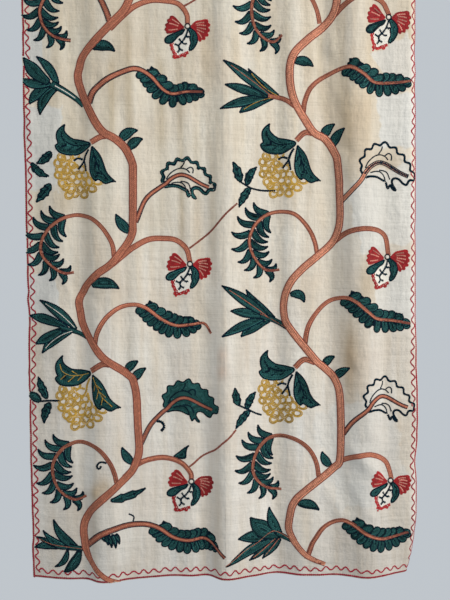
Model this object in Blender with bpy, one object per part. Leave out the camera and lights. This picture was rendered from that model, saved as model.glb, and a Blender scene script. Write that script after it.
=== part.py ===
"""Crewel embroidery panel: two loom widths of cream ground cloth, seamed down the middle and hung by the heading.

Metres, +Z up. The origin is the middle of the top edge, on the flat back of the heading, where a batten or a wall
would be. +X runs to the viewer's right and the worked face looks along -Y. The cloth is laid out by two cut
distances: across, from the seam, and up, from the hem. The hung shape follows from them, with its true cut length.
"""

from collections import namedtuple

import bmesh
import bpy
import numpy as np

# The cut cloth
LOOM_WIDTH = 0.470
DROP = 1.920
CLOTH_THICK = 0.0020
TURNED_THICK = 0.0034
SEAM_GAP = 0.0003

# Turned edges: the share of the cloth that lies double
SIDE_HEM = 0.011
BOTTOM_HEM = 0.013
SEAM_ALLOWANCE = 0.012
HEADING = 0.045
FLAT_TOP = 0.060
TURN_STEP = 0.002

# Mesh spacing
COLUMN_PITCH = 0.0165
CURL_PITCH = 0.0065
ROW_PITCH = 0.046
LOW_ROW_PITCH = 0.027
LOW_ZONE = 0.30
WALK_STEP = 0.002

# How the panel stands off the plane of the heading
STAND_OFF_HEM = 0.047
EASE_BELOW_HEADING = 0.50

# Soft folds that run down the cloth. Crests are distances across from the seam, heights are towards the viewer, and a
# hollow or valley has negative heights. Middle is this far above the hem.
Fold = namedtuple("Fold", "name crest_top crest_hem half_width height_top height_middle height_hem")
MIDDLE = 0.62
FOLDS = (
    Fold("left edge, set back", -0.475, -0.475, 0.055, -0.002, -0.010, -0.016),
    Fold("left valley", -0.345, -0.340, 0.026, -0.001, -0.006, -0.004),
    Fold("left ridge", -0.275, -0.290, 0.042, 0.004, 0.012, 0.019),
    Fold("left upper pleat", -0.215, -0.210, 0.020, 0.005, 0.003, 0.000),
    Fold("left hollow", -0.140, -0.130, 0.050, -0.003, -0.007, -0.010),
    Fold("seam valley", -0.048, -0.050, 0.026, -0.001, -0.008, -0.011),
    Fold("seam ridge", 0.012, 0.004, 0.040, 0.004, 0.012, 0.015),
    Fold("right hollow", 0.110, 0.125, 0.045, -0.003, -0.007, -0.016),
    Fold("right inner pleat", 0.165, 0.158, 0.020, 0.002, 0.006, 0.000),
    Fold("right valley", 0.236, 0.262, 0.028, -0.006, -0.008, -0.004),
    Fold("right ridge", 0.305, 0.345, 0.042, 0.012, 0.017, 0.016),
)

# Slanting drag creases, two low on the right towards the corner and one at the left edge
Crease = namedtuple("Crease", "name across_from up_from across_to up_to half_width height")
CREASES = (
    Crease("upper drag", 0.275, 0.330, 0.400, 0.215, 0.016, 0.006),
    Crease("lower drag", 0.225, 0.250, 0.300, 0.100, 0.018, 0.006),
    Crease("left margin drag", -0.430, 0.680, -0.375, 0.560, 0.016, 0.006),
)

# The right edge turns back towards the wall. Degrees of turn at heights above the hem.
CURL_WIDTH = 0.030
CURL_HEIGHTS = (0.00, 0.10, 0.25, 0.36, 0.46, 0.60, 1.00, 1.40, 1.70, 1.86)
CURL_DEGREES = (62.0, 58.0, 44.0, 16.0, 22.0, 50.0, 58.0, 60.0, 38.0, 0.0)

# The lower right corner swings back towards the wall
CORNER_REACH_ACROSS = 0.105
CORNER_REACH_UP = 0.150
CORNER_SWING = 0.040

# The hem isn't cut quite straight: low points at the ridges
HEM_DROP = 0.0045
HEM_CREST = 0.019
HEM_SINK_REACH = 0.35

CLOTH_COLOUR = (0.62, 0.56, 0.44, 1.0)
CLOTH_ROUGHNESS = 0.92


def smooth(x):
    """0 below 0, 1 above 1, and an even S between."""
    x = np.clip(x, 0.0, 1.0)
    return x * x * (3.0 - 2.0 * x)


def easing(up):
    """How far the folds have opened below the heading, from 0 to 1."""
    return smooth((DROP - FLAT_TOP - up) / EASE_BELOW_HEADING)


def fold_height(fold, up):
    """The height of one fold at that height above the hem, before easing."""
    return np.interp(up, (0.0, MIDDLE, DROP), (fold.height_hem, fold.height_middle, fold.height_top))


def relief(across, up):
    """Height of folds and creases towards the viewer at a place on the cut cloth."""
    total = np.zeros(np.broadcast(across, up).shape)
    for fold in FOLDS:
        crest = fold.crest_hem + (fold.crest_top - fold.crest_hem) * up / DROP
        total = total + fold_height(fold, up) * np.exp(-(((across - crest) / fold.half_width) ** 2))
    for crease in CREASES:
        run = np.array((crease.across_to - crease.across_from, crease.up_to - crease.up_from))
        length = np.hypot(*run)
        along = ((across - crease.across_from) * run[0] + (up - crease.up_from) * run[1]) / length
        beside = ((across - crease.across_from) * run[1] - (up - crease.up_from) * run[0]) / length
        ends = smooth(along / (0.4 * length)) * smooth((length - along) / (0.4 * length))
        total = total + crease.height * ends * np.exp(-((beside / crease.half_width) ** 2))
    return total * easing(up)


def corner_swing(across, up):
    """How far the lower right corner has swung back."""
    side = np.clip((across - LOOM_WIDTH + CORNER_REACH_ACROSS) / CORNER_REACH_ACROSS, 0.0, 1.0)
    low = np.clip(1.0 - up / CORNER_REACH_UP, 0.0, 1.0)
    return CORNER_SWING * side**2 * low**1.5


def stand_off(up):
    """How far the cloth hangs off the plane of the heading, before its folds."""
    below = np.clip((DROP - FLAT_TOP - up) / (DROP - FLAT_TOP), 0.0, 1.0)
    return TURNED_THICK + STAND_OFF_HEM * below**0.8 * smooth(below / 0.25)


def curl_turn(across, up):
    """The turn of the right edge, in radians, at a place on the cut cloth."""
    turn = np.radians(np.interp(up, CURL_HEIGHTS, CURL_DEGREES))
    return turn * smooth((across - LOOM_WIDTH + CURL_WIDTH) / CURL_WIDTH)


def hem_sink(across, up):
    """How much lower the uneven hem pulls the cloth, easing out above it."""
    return HEM_DROP * relief(across, 0.0) / HEM_CREST * smooth(1.0 - up / HEM_SINK_REACH)


def hung_row(columns, up):
    """The front of the cloth at one height: points for the given distances across.

    The row is walked outwards from the seam in small steps of the cut cloth, each turned by the slope there, so the
    cloth keeps its width: deeper folds draw the edges in.
    """
    reach = LOOM_WIDTH + 2 * WALK_STEP
    walk = np.arange(-reach, reach + WALK_STEP / 2, WALK_STEP)
    depth = relief(walk, up) - corner_swing(walk, up)
    slope = np.arcsin(np.clip(np.gradient(depth, WALK_STEP), -0.9, 0.9)) - curl_turn(walk, up)
    run, rise = np.cos(slope), np.sin(slope)
    seam = len(walk) // 2
    x = np.concatenate([[0.0], np.cumsum((run[1:] + run[:-1]) / 2)]) * WALK_STEP
    out = np.concatenate([[0.0], np.cumsum((rise[1:] + rise[:-1]) / 2)]) * WALK_STEP
    x -= x[seam]
    out += depth[seam] - out[seam] + stand_off(up)
    z = up - DROP - hem_sink(walk, up)
    return np.column_stack([np.interp(columns, walk, line) for line in (x, -out, z)])


def facing(columns, up):
    """Which way the front of the cloth faces at each of those places, one unit long."""
    along = hung_row(columns + WALK_STEP, up) - hung_row(columns - WALK_STEP, up)
    rising = hung_row(columns, up + WALK_STEP) - hung_row(columns, up - WALK_STEP)
    normal = np.cross(along, rising)
    return normal / np.linalg.norm(normal, axis=1)[:, None]


def spread(low, high, pitch):
    """Even places from low to high, no further apart than the pitch."""
    count = int(np.ceil((high - low) / pitch))
    return np.linspace(low, high, count + 1)


def width_columns(seam_side, outer, curled):
    """Distances across for one loom width, in rising order, with pairs of columns where a turned edge ends."""
    side = 1.0 if outer > seam_side else -1.0
    reach = abs(outer - seam_side)
    inner_start = SEAM_ALLOWANCE + TURN_STEP
    hem_start = reach - SIDE_HEM - TURN_STEP
    if curled:
        curl_start = reach - CURL_WIDTH
        body = spread(inner_start, curl_start, COLUMN_PITCH)
        body = np.concatenate([body, spread(curl_start, hem_start, CURL_PITCH)[1:]])
    else:
        body = spread(inner_start, hem_start, COLUMN_PITCH)
    hem = spread(reach - SIDE_HEM, reach, CURL_PITCH)
    return np.sort(seam_side + side * np.concatenate([[0.0, SEAM_ALLOWANCE], body, hem]))


def cloth_rows():
    """Heights above the hem, with pairs of rows where the turned hem and the heading end."""
    low = spread(BOTTOM_HEM + TURN_STEP, LOW_ZONE, LOW_ROW_PITCH)
    high = spread(LOW_ZONE, DROP - HEADING - TURN_STEP, ROW_PITCH)[1:]
    return np.concatenate([[0.0, BOTTOM_HEM], low, high, [DROP - HEADING, DROP - HEADING / 2, DROP]])


def thickness(across, up, seam_side, outer):
    """The thickness of each place in a row: double at hems, heading and seam allowance."""
    slack = 1e-6
    double = np.abs(across - seam_side) <= SEAM_ALLOWANCE + slack
    double |= np.abs(outer - across) <= SIDE_HEM + slack
    if up <= BOTTOM_HEM + slack or up >= DROP - HEADING - slack:
        double[:] = True
    return np.where(double, TURNED_THICK, CLOTH_THICK)


def cloth_material(name):
    """A matt woven cloth."""
    material = bpy.data.materials.new(name)
    material.use_nodes = True
    shader = material.node_tree.nodes["Principled BSDF"]
    shader.inputs["Base Color"].default_value = CLOTH_COLOUR
    shader.inputs["Roughness"].default_value = CLOTH_ROUGHNESS
    shader.inputs["Metallic"].default_value = 0.0
    return material


def cloth_faces(columns, rows):
    """Faces of a closed slab of cloth: front, back and the four cut edges.

    Points are numbered row by row, all of the front first and then all of the back.
    """
    back = columns * rows
    faces = []
    for j in range(rows - 1):
        for i in range(columns - 1):
            a = j * columns + i
            faces.append((a, a + 1, a + 1 + columns, a + columns))
            faces.append((back + a, back + a + columns, back + a + 1 + columns, back + a + 1))
    rim = [(0, i) for i in range(columns)]
    rim += [(j, columns - 1) for j in range(1, rows)]
    rim += [(rows - 1, i) for i in range(columns - 2, -1, -1)]
    rim += [(j, 0) for j in range(rows - 2, 0, -1)]
    rim = [j * columns + i for j, i in rim]
    for near, far in zip(rim, rim[1:] + rim[:1]):
        faces.append((near, back + near, back + far, far))
    return faces


def loom_width(name, seam_side, outer, curled):
    """One loom width: its front on the hung surface, and its back behind it by the thickness at each place."""
    columns = width_columns(seam_side, outer, curled)
    rows = cloth_rows()
    front = [hung_row(columns, up) for up in rows]
    back = []
    for up, row in zip(rows, front):
        back.append(row - facing(columns, up) * thickness(columns, up, seam_side, outer)[:, None])
    points = np.concatenate(front + back)
    mesh = bpy.data.meshes.new(name)
    mesh.from_pydata(points.tolist(), [], cloth_faces(len(columns), len(rows)))
    mesh.materials.append(cloth_material(name + "_cloth"))
    cloth = bpy.data.objects.new(name, mesh)
    bpy.context.scene.collection.objects.link(cloth)
    bm = bmesh.new()
    bm.from_mesh(mesh)
    bmesh.ops.recalc_face_normals(bm, faces=bm.faces[:])
    bmesh.ops.triangulate(bm, faces=bm.faces[:], quad_method="SHORT_EDGE")
    bm.to_mesh(mesh)
    bm.free()
    return cloth


def main():
    """Clears the scene and makes the two loom widths."""
    for old in list(bpy.data.objects):
        bpy.data.objects.remove(old)
    half_gap = SEAM_GAP / 2
    loom_width("left_width", -half_gap, -LOOM_WIDTH, False)
    loom_width("right_width", half_gap, LOOM_WIDTH, True)


main()
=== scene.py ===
"""Crewel embroidery panel, dressed over its two loom widths.

The ground cloth is remade finer on the hung shape of its solids. Every stem, leaf, flower and border line
is then worked on it in rows of stitches. A place on the cut cloth has two distances in metres, across from
the seam and up from the hem, and HungCloth turns them into a place in space. The pattern itself is charted
in steps of about 2.3 mm, counted right and down, and Chart turns those into cloth distances.
"""

import logging
import math
from dataclasses import dataclass, field, replace
from enum import Enum

import bpy
import numpy as np
from mathutils import Matrix, Vector


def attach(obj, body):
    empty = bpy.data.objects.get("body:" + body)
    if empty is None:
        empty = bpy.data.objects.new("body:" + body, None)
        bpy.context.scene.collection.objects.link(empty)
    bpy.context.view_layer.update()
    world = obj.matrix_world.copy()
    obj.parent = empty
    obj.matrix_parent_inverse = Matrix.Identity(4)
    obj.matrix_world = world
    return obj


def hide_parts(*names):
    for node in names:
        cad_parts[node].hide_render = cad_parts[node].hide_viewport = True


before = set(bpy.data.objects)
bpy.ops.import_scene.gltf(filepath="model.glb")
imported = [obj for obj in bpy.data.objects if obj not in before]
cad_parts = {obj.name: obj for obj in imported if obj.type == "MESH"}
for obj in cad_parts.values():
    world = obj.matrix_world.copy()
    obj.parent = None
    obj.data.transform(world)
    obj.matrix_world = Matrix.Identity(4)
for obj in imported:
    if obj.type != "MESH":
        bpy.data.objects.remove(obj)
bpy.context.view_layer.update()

logging.basicConfig(level=logging.INFO, format="%(message)s")
log = logging.getLogger("panel")

Array = np.ndarray
Socket = bpy.types.NodeSocket
Point = tuple[float, float]
Span = tuple[float, float]
Colour = tuple[float, float, float]

# Seeds, one for each thing that is drawn at random
SEED = 1751
RIPPLE_SEED = SEED + 1
BORDER_SEED = SEED + 7
BLOTCH_SEED = SEED + 11
STREAK_SEED = SEED + 12
CRUMPLE_SEED = SEED + 21
REVERSE_SEED = SEED + 50

# The cut cloth, as in its solids
LOOM_WIDTH = 0.470
DROP = 1.920
SEAM_GAP = 0.0003
SIDE_HEM = 0.011
BOTTOM_HEM = 0.013
SEAM_ALLOWANCE = 0.012
HEADING = 0.045
FLAT_TOP = 0.060
TURN_STEP = 0.002
TURNED_THICK = 0.0034
STAND_OFF_HEM = 0.047
EASE_BELOW_HEADING = 0.50
MIDDLE = 0.62
CURL_WIDTH = 0.030
CURL_HEIGHTS = (0.00, 0.10, 0.25, 0.36, 0.46, 0.60, 1.00, 1.40, 1.70, 1.86)
CURL_DEGREES = (62.0, 58.0, 44.0, 16.0, 22.0, 50.0, 58.0, 60.0, 38.0, 0.0)
CORNER_REACH_ACROSS = 0.105
CORNER_REACH_UP = 0.150
CORNER_SWING = 0.040
HEM_DROP = 0.0045
HEM_CREST = 0.019
HEM_SINK_REACH = 0.35

# The dressed cloth
VISIBLE_THICK = 0.0012
VISIBLE_TURNED = 0.0026
CLOTH_PITCH = 0.0070
CURLED_PITCH = 0.0032
NEAR = 1e-6
TINY = 1e-9

# A place past a grid's last cell is read this many cells before the end
LAST_CELL = 1.001


def smooth(x: Array) -> Array:
    """An even S from 0 to 1, which stays 0 before 0 and 1 after 1."""
    x = np.clip(x, 0.0, 1.0)
    return x * x * (3.0 - 2.0 * x)


def unit(ways: Array) -> Array:
    """Directions made one unit long, the last axis being a direction's own numbers."""
    return ways / np.linalg.norm(ways, axis=-1)[..., None]


def blend(grid: Array, i: Array, j: Array, u: Array, v: Array) -> Array:
    """Values between a grid's points, mixed from the four around each place.

    Args:
        grid: The values, one row for each distance up.
        i: The column before each place.
        j: The row before each place.
        u: How far each place is towards the next column, 0 to 1.
        v: How far each place is towards the next row, 0 to 1.

    Returns:
        The mixed values.
    """
    low = grid[j, i] * (1 - u) + grid[j, i + 1] * u
    high = grid[j + 1, i] * (1 - u) + grid[j + 1, i + 1] * u
    return low * (1 - v) + high * v


@dataclass(frozen=True)
class Fold:
    """A soft fold that runs down the cloth.

    The crest is a distance across from the seam. Heights are towards the viewer, below 0 for a hollow.
    """

    crest_top: float
    crest_hem: float
    half_width: float
    height_top: float
    height_middle: float
    height_hem: float

    def relief(self, across: Array, up: float) -> Array:
        """Height of the fold.

        Args:
            across: Distances from the seam.
            up: Distance above the hem.

        Returns:
            The height at each distance across.
        """
        crest = self.crest_hem + (self.crest_top - self.crest_hem) * up / DROP
        height = np.interp(up, (0.0, MIDDLE, DROP), (self.height_hem, self.height_middle, self.height_top))
        return height * np.exp(-(((across - crest) / self.half_width) ** 2))


@dataclass(frozen=True)
class Crease:
    """A slanting drag crease, from one place on the cloth to another."""

    across_from: float
    up_from: float
    across_to: float
    up_to: float
    half_width: float
    height: float

    FADE = 0.4

    def relief(self, across: Array, up: float) -> Array:
        """Height of the crease.

        Args:
            across: Distances from the seam.
            up: Distance above the hem.

        Returns:
            The height at each distance across.
        """
        run = np.array((self.across_to - self.across_from, self.up_to - self.up_from))
        length = np.hypot(*run)
        along = ((across - self.across_from) * run[0] + (up - self.up_from) * run[1]) / length
        beside = ((across - self.across_from) * run[1] - (up - self.up_from) * run[0]) / length
        fade = self.FADE * length
        ends = smooth(along / fade) * smooth((length - along) / fade)
        return self.height * ends * np.exp(-((beside / self.half_width) ** 2))


FOLDS = tuple(Fold(*row) for row in (
    (-0.475, -0.475, 0.055, -0.002, -0.010, -0.016), (-0.345, -0.340, 0.026, -0.001, -0.006, -0.004),
    (-0.275, -0.290, 0.042, 0.004, 0.012, 0.019), (-0.215, -0.210, 0.020, 0.005, 0.003, 0.000),
    (-0.140, -0.130, 0.050, -0.003, -0.007, -0.010), (-0.048, -0.050, 0.026, -0.001, -0.008, -0.011),
    (0.012, 0.004, 0.040, 0.004, 0.012, 0.015), (0.110, 0.125, 0.045, -0.003, -0.007, -0.016),
    (0.165, 0.158, 0.020, 0.002, 0.006, 0.000), (0.236, 0.262, 0.028, -0.006, -0.008, -0.004),
    (0.305, 0.345, 0.042, 0.012, 0.017, 0.016),
))
CREASES = tuple(Crease(*row) for row in (
    (0.275, 0.330, 0.400, 0.215, 0.016, 0.006), (0.225, 0.250, 0.300, 0.100, 0.018, 0.006),
    (-0.430, 0.680, -0.375, 0.560, 0.016, 0.006),
))
FINE_CREASES = tuple(Crease(*row) for row in (
    (0.270, 0.270, 0.385, 0.090, 0.007, 0.0024), (0.300, 0.250, 0.350, 0.190, 0.006, 0.0018),
    (0.230, 0.070, 0.400, 0.110, 0.007, 0.0018), (0.210, 0.035, 0.330, 0.055, 0.006, 0.0014),
    (0.285, 0.560, 0.345, 0.450, 0.008, 0.0022), (0.300, 0.985, 0.365, 1.010, 0.006, 0.0020),
    (0.260, 1.180, 0.300, 1.060, 0.008, 0.0020), (-0.060, 1.165, 0.000, 1.150, 0.005, 0.0018),
    (-0.070, 0.485, -0.010, 0.490, 0.005, 0.0018), (-0.400, 0.730, -0.350, 0.640, 0.008, 0.0024),
    (-0.430, 1.300, -0.340, 1.270, 0.006, 0.0022), (-0.410, 1.200, -0.330, 1.225, 0.006, 0.0020),
    (-0.200, 0.090, -0.060, 0.060, 0.007, 0.0016), (-0.330, 0.150, -0.230, 0.060, 0.008, 0.0020),
    (0.060, 0.120, 0.200, 0.060, 0.008, 0.0016),
))


@dataclass(frozen=True)
class Crumples:
    """Small creases scattered over the cloth, most of them steep. A pair is a least and a greatest size."""

    count: int = 90
    across: Span = (-0.45, 0.44)
    up: Span = (0.03, 1.80)
    turn_spread: float = 0.75
    length: Span = (0.05, 0.14)
    height: Span = (0.0012, 0.0028)
    half_width: Span = (0.009, 0.015)

    def creases(self) -> tuple[Crease, ...]:
        """Draws the creases.

        Returns:
            The creases, the same in every run.
        """
        rng = np.random.default_rng(CRUMPLE_SEED)
        made = []
        for _ in range(self.count):
            across, up = rng.uniform(*self.across), rng.uniform(*self.up)
            turn, long = rng.normal(math.pi / 2, self.turn_spread), rng.uniform(*self.length)
            run, rise = long * math.cos(turn), long * math.sin(turn)
            height = rng.uniform(*self.height) * rng.choice((-1.0, 1.0))
            made.append(Crease(across, up, across + run, up + rise, rng.uniform(*self.half_width), height))
        return tuple(made)


class SoftNoise:
    """Smooth noise over the cloth, from a lattice of seeded random values."""

    REACH_ACROSS = 2.2 * LOOM_WIDTH
    REACH_UP = 1.1 * DROP
    LEFT_OF_SEAM = 1.05 * LOOM_WIDTH
    BELOW_HEM = 0.02
    SPARE_CELLS = 4

    def __init__(self, seed: int, cell_across: float, cell_up: float) -> None:
        """Draws the lattice.

        Args:
            seed: Seed of the random values.
            cell_across: Size of a cell across the cloth.
            cell_up: Size of a cell up the cloth.
        """
        self.cell_across = cell_across
        self.cell_up = cell_up
        self.columns = int(self.REACH_ACROSS / cell_across) + self.SPARE_CELLS
        self.rows = int(self.REACH_UP / cell_up) + self.SPARE_CELLS
        self.values = np.random.default_rng(seed).uniform(-1.0, 1.0, (self.rows, self.columns))

    def at(self, across: Array, up: Array) -> Array:
        """Noise at places on the cloth.

        Args:
            across: Distances from the seam.
            up: Distances above the hem.

        Returns:
            Values from -1 to 1.
        """
        a = np.clip((np.asarray(across) + self.LEFT_OF_SEAM) / self.cell_across, 0, self.columns - LAST_CELL)
        b = np.clip((np.asarray(up) + self.BELOW_HEM) / self.cell_up, 0, self.rows - LAST_CELL)
        i, j = a.astype(int), b.astype(int)
        return blend(self.values, i, j, smooth(a - i), smooth(b - j))


class HungCloth:
    """The hung shape of the cloth: folds, the turned right edge, the swung corner and fine ripples."""

    WALK = 0.002
    RISE = 0.004
    RIPPLES = ((0.00145, 0.026, 0.42), (0.00045, 0.016, 0.16), (0.00025, 0.014, 0.015))
    FLAT_TO_RIPPLED = 0.05
    SWING_POWER = 1.5
    STEEPEST = 0.9
    STAND_OFF_POWER = 0.8
    STAND_OFF_START = 0.25

    def __init__(self) -> None:
        """Walks every row of the cloth once and keeps its points and normals."""
        reach = LOOM_WIDTH + 3 * self.WALK
        self.walk = np.arange(-reach, reach + self.WALK / 2, self.WALK)
        self.climb = np.arange(-self.RISE, DROP + 1.5 * self.RISE, self.RISE)
        self.crumples = Crumples().creases()
        self.ripples = [
            (size, SoftNoise(RIPPLE_SEED + number, cell_across, cell_up))
            for number, (size, cell_across, cell_up) in enumerate(self.RIPPLES)
        ]
        self.points = np.stack([self._row(up) for up in self.climb])
        self.across_way = unit(np.gradient(self.points, axis=1))
        self.up_way = unit(np.gradient(self.points, axis=0))
        self.normals = unit(np.cross(self.across_way, self.up_way))

    @staticmethod
    def easing(up: float) -> float:
        """How far the folds have opened below the heading, from 0 to 1."""
        return float(smooth(np.array((DROP - FLAT_TOP - up) / EASE_BELOW_HEADING)))

    def relief(self, across: Array, up: float) -> Array:
        """Height of folds and creases towards the viewer, at distances from the seam and from the hem."""
        return sum(shape.relief(across, up) for shape in FOLDS + CREASES) * self.easing(up)

    def _row(self, up: float) -> Array:
        """The front of the cloth at one height, walked outwards from the seam."""
        walk = self.walk
        side = np.clip((walk - LOOM_WIDTH + CORNER_REACH_ACROSS) / CORNER_REACH_ACROSS, 0.0, 1.0)
        low = np.clip(1.0 - up / CORNER_REACH_UP, 0.0, 1.0)
        depth = self.relief(walk, up) - CORNER_SWING * side**2 * low**self.SWING_POWER
        flat = smooth(np.array((DROP - HEADING - up) / self.FLAT_TO_RIPPLED))
        for crease in FINE_CREASES + self.crumples:
            depth = depth + crease.relief(walk, up) * flat
        for size, noise in self.ripples:
            depth = depth + size * noise.at(walk, np.full_like(walk, up)) * flat
        turn = np.radians(np.interp(up, CURL_HEIGHTS, CURL_DEGREES))
        turn = turn * smooth((walk - LOOM_WIDTH + CURL_WIDTH) / CURL_WIDTH)
        slope = np.arcsin(np.clip(np.gradient(depth, self.WALK), -self.STEEPEST, self.STEEPEST)) - turn
        run, rise = np.cos(slope), np.sin(slope)
        seam = len(walk) // 2
        x, out = (np.append(0.0, np.cumsum((part[1:] + part[:-1]) / 2)) * self.WALK for part in (run, rise))
        below = np.clip((DROP - FLAT_TOP - up) / (DROP - FLAT_TOP), 0.0, 1.0)
        eased = smooth(below / self.STAND_OFF_START)
        stand_off = TURNED_THICK + STAND_OFF_HEM * below**self.STAND_OFF_POWER * eased
        out += depth[seam] - out[seam] + stand_off
        sink = HEM_DROP * self.relief(walk, 0.0) / HEM_CREST * smooth(1.0 - up / HEM_SINK_REACH)
        return np.column_stack([x - x[seam], -out, up - DROP - sink])

    def _mix(self, grid: Array, across: Array, up: Array) -> Array:
        """Values of a kept grid at places on the cloth, blended from the four around each."""
        a = np.clip((across - self.walk[0]) / self.WALK, 0, len(self.walk) - LAST_CELL)
        b = np.clip((up - self.climb[0]) / self.RISE, 0, len(self.climb) - LAST_CELL)
        i, j = a.astype(int), b.astype(int)
        return blend(grid, i, j, (a - i)[..., None], (b - j)[..., None])

    def at(self, across: Array, up: Array) -> tuple[Array, Array]:
        """Points of the front, and the way it faces at each, at distances from the seam and the hem."""
        return self._mix(self.points, across, up), unit(self._mix(self.normals, across, up))

    def ways(self, across: Array, up: Array) -> tuple[Array, Array]:
        """The directions that run across and up the cloth, at distances from the seam and the hem."""
        return self._mix(self.across_way, across, up), self._mix(self.up_way, across, up)


@dataclass(frozen=True)
class Chart:
    """The pattern's chart, in steps right and down from its top left corner. The seam leans a little."""

    seam_foot: Point = (226.0, 578.6)
    lean: float = 0.0076
    up_step: float = 0.00234
    across_step_hem: float = 0.002436
    across_step_top: float = 0.002354
    rows: float = 577.0

    def place(self, path: Array) -> Array:
        """Cloth distances of places on the chart.

        Args:
            path: Chart places, one a row.

        Returns:
            Distances across and up in metres, one place a row.
        """
        right = path[:, 0] - self.seam_foot[0]
        above = self.seam_foot[1] - path[:, 1]
        column = right + above * self.lean
        row = above - right * self.lean
        step = self.across_step_hem + (self.across_step_top - self.across_step_hem) * row / self.rows
        return np.column_stack([column * step, row * self.up_step])


class Thread(Enum):
    """The wools and cotton used: the name in the piece, the colour and how much stitches differ."""

    NAVY = ("navy", (0.0012, 0.0105, 0.0200), 0.16)
    GREEN = ("green", (0.0205, 0.083, 0.077), 0.34)
    TERRACOTTA = ("terracotta", (0.44, 0.155, 0.088), 0.24)
    TAN = ("tan", (0.69, 0.284, 0.170), 0.22)
    BRICK = ("brick", (0.225, 0.060, 0.038), 0.14)
    RED = ("red", (0.32, 0.012, 0.014), 0.20)
    PINK = ("pink", (0.50, 0.20, 0.15), 0.18)
    GOLD = ("gold", (0.45, 0.265, 0.040), 0.16)
    CRIMSON = ("crimson", (0.29, 0.012, 0.026), 0.12)
    CREAM = ("cream", (0.71, 0.665, 0.58), 0.06)

    def __init__(self, label: str, colour: Colour, spread: float) -> None:
        """Keeps the wool's name, its dyed colour and how much the shade differs from stitch to stitch."""
        self.label, self.colour, self.spread = label, colour, spread

    @property
    def dark(self) -> bool:
        """Whether it is one of the dark wools, whose halo and shine hardly show."""
        return self in (Thread.NAVY, Thread.GREEN)


class Layer(Enum):
    """The order of working. The first lies on top, because later rows stop where the cloth is taken."""

    KNOT = 0
    STEM = 1
    VEIN = 2
    OUTLINE = 3
    BORDER = 4
    GAP = 5


class Kind(Enum):
    """How a row is stitched: as a chain along its path, or as flat padding inside a closed path."""

    CHAIN = "chain"
    UNDER = "under"


@dataclass
class Row:
    """One row of stitches along a path on the chart."""

    thread: Thread
    path: Array
    layer: Layer = Layer.OUTLINE
    width: float = 0.0027
    length: float = 0.0044
    kind: Kind = Kind.CHAIN
    crossing: bool = False


def even_path(path: Array, spacing: float) -> Array:
    """A path's points respaced evenly.

    Args:
        path: Points, one a row.
        spacing: About how far apart, in the path's own unit.

    Returns:
        Evenly spaced points from the first to the last.
    """
    steps = np.linalg.norm(np.diff(path, axis=0), axis=1)
    run = np.concatenate([[0.0], np.cumsum(steps)])
    count = max(2, int(round(run[-1] / spacing)) + 1)
    marks = np.linspace(0.0, run[-1], count)
    return np.column_stack([np.interp(marks, run, path[:, k]) for k in range(path.shape[1])])


def curve(points: list[Point], spacing: float = 0.6) -> Array:
    """A smooth curve through given points.

    Args:
        points: The points to pass through.
        spacing: Distance between the points of the result.

    Returns:
        Points along the curve.
    """
    given = np.array(points, float)
    if len(given) == 2:
        return even_path(given, spacing)
    padded = np.vstack([2 * given[0] - given[1], given, 2 * given[-1] - given[-2]])
    u = np.linspace(0.0, 1.0, 12, endpoint=False)[:, None]
    parts = []
    for a, b, c, d in zip(padded, padded[1:], padded[2:], padded[3:]):
        parts.append(
            0.5 * (2 * b + (c - a) * u + (2 * a - 5 * b + 4 * c - d) * u**2 + (3 * b - a - 3 * c + d) * u**3)
        )
    return even_path(np.vstack(parts + [given[-1:]]), spacing)


def left_of(path: Array) -> Array:
    """The viewer's left-hand side along a charted path, one unit long.

    Args:
        path: Points, one a row.

    Returns:
        A direction for each point.
    """
    way = np.gradient(path, axis=0)
    way = way / np.maximum(np.linalg.norm(way, axis=1), TINY)[:, None]
    return np.column_stack([way[:, 1], -way[:, 0]])


def turned(way: Array, degrees: float) -> Array:
    """A charted direction turned to the viewer's left, by so many degrees."""
    cos, sin = math.cos(math.radians(degrees)), math.sin(math.radians(degrees))
    return np.array([way[0] * cos + way[1] * sin, -way[0] * sin + way[1] * cos])


@dataclass
class Stem:
    """A band of parallel chain rows along a curve, with darker rows at its edges.

    Its widths are at even marks from its first point to its last.
    """

    points: list[Point]
    width: tuple[float, ...]
    edge: Thread = Thread.BRICK
    inside: Thread = Thread.TERRACOTTA
    outline: Thread | None = None
    layer: Layer = Layer.STEM

    PITCH = 1.15
    ROW_WIDTH = 0.0029
    OUTLINE_WIDTH = 0.0026
    OUTLINE_GAP = 0.45
    PADDING_STEP = 1.5

    def rows(self) -> list[Row]:
        """The stem's rows.

        Returns:
            Rows from the edges inwards.
        """
        path = curve(self.points)
        normal = left_of(path)
        marks = np.linspace(0, 1, len(self.width))
        wide = np.interp(np.linspace(0, 1, len(path)), marks, self.width)[:, None]
        made = []
        if self.outline:
            for side in (1, -1):
                beside = path + side * normal * (wide / 2 + self.OUTLINE_GAP)
                made.append(Row(self.outline, beside, self.layer, self.OUTLINE_WIDTH))
        count = max(2, math.ceil(max(self.width) / self.PITCH))
        for k in sorted(range(count), key=lambda k: -abs(k - (count - 1) / 2)):
            thread = self.edge if k in (0, count - 1) else self.inside
            share = (k + 0.5) / count - 0.5
            made.append(Row(thread, path + normal * share * wide, self.layer, self.ROW_WIDTH))
        sides = np.vstack([path + normal * wide / 2, (path - normal * wide / 2)[::-1]])
        made.append(Row(self.edge, even_path(sides, self.PADDING_STEP), self.layer, kind=Kind.UNDER))
        return made


def runs_of(keep: Array) -> list[Array]:
    """Stretches of a closed path that are kept.

    Args:
        keep: Which of its points are kept.

    Returns:
        The point numbers of each stretch, in order round the path.
    """
    count = len(keep)
    if keep.all():
        return [np.append(np.arange(count), 0)]
    start = int(np.flatnonzero(~keep)[0])
    order = (np.arange(count) + start) % count
    held = np.flatnonzero(keep[order])
    if len(held) == 0:
        return []
    return [order[part] for part in np.split(held, np.flatnonzero(np.diff(held) > 1) + 1) if len(part) > 2]


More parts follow.
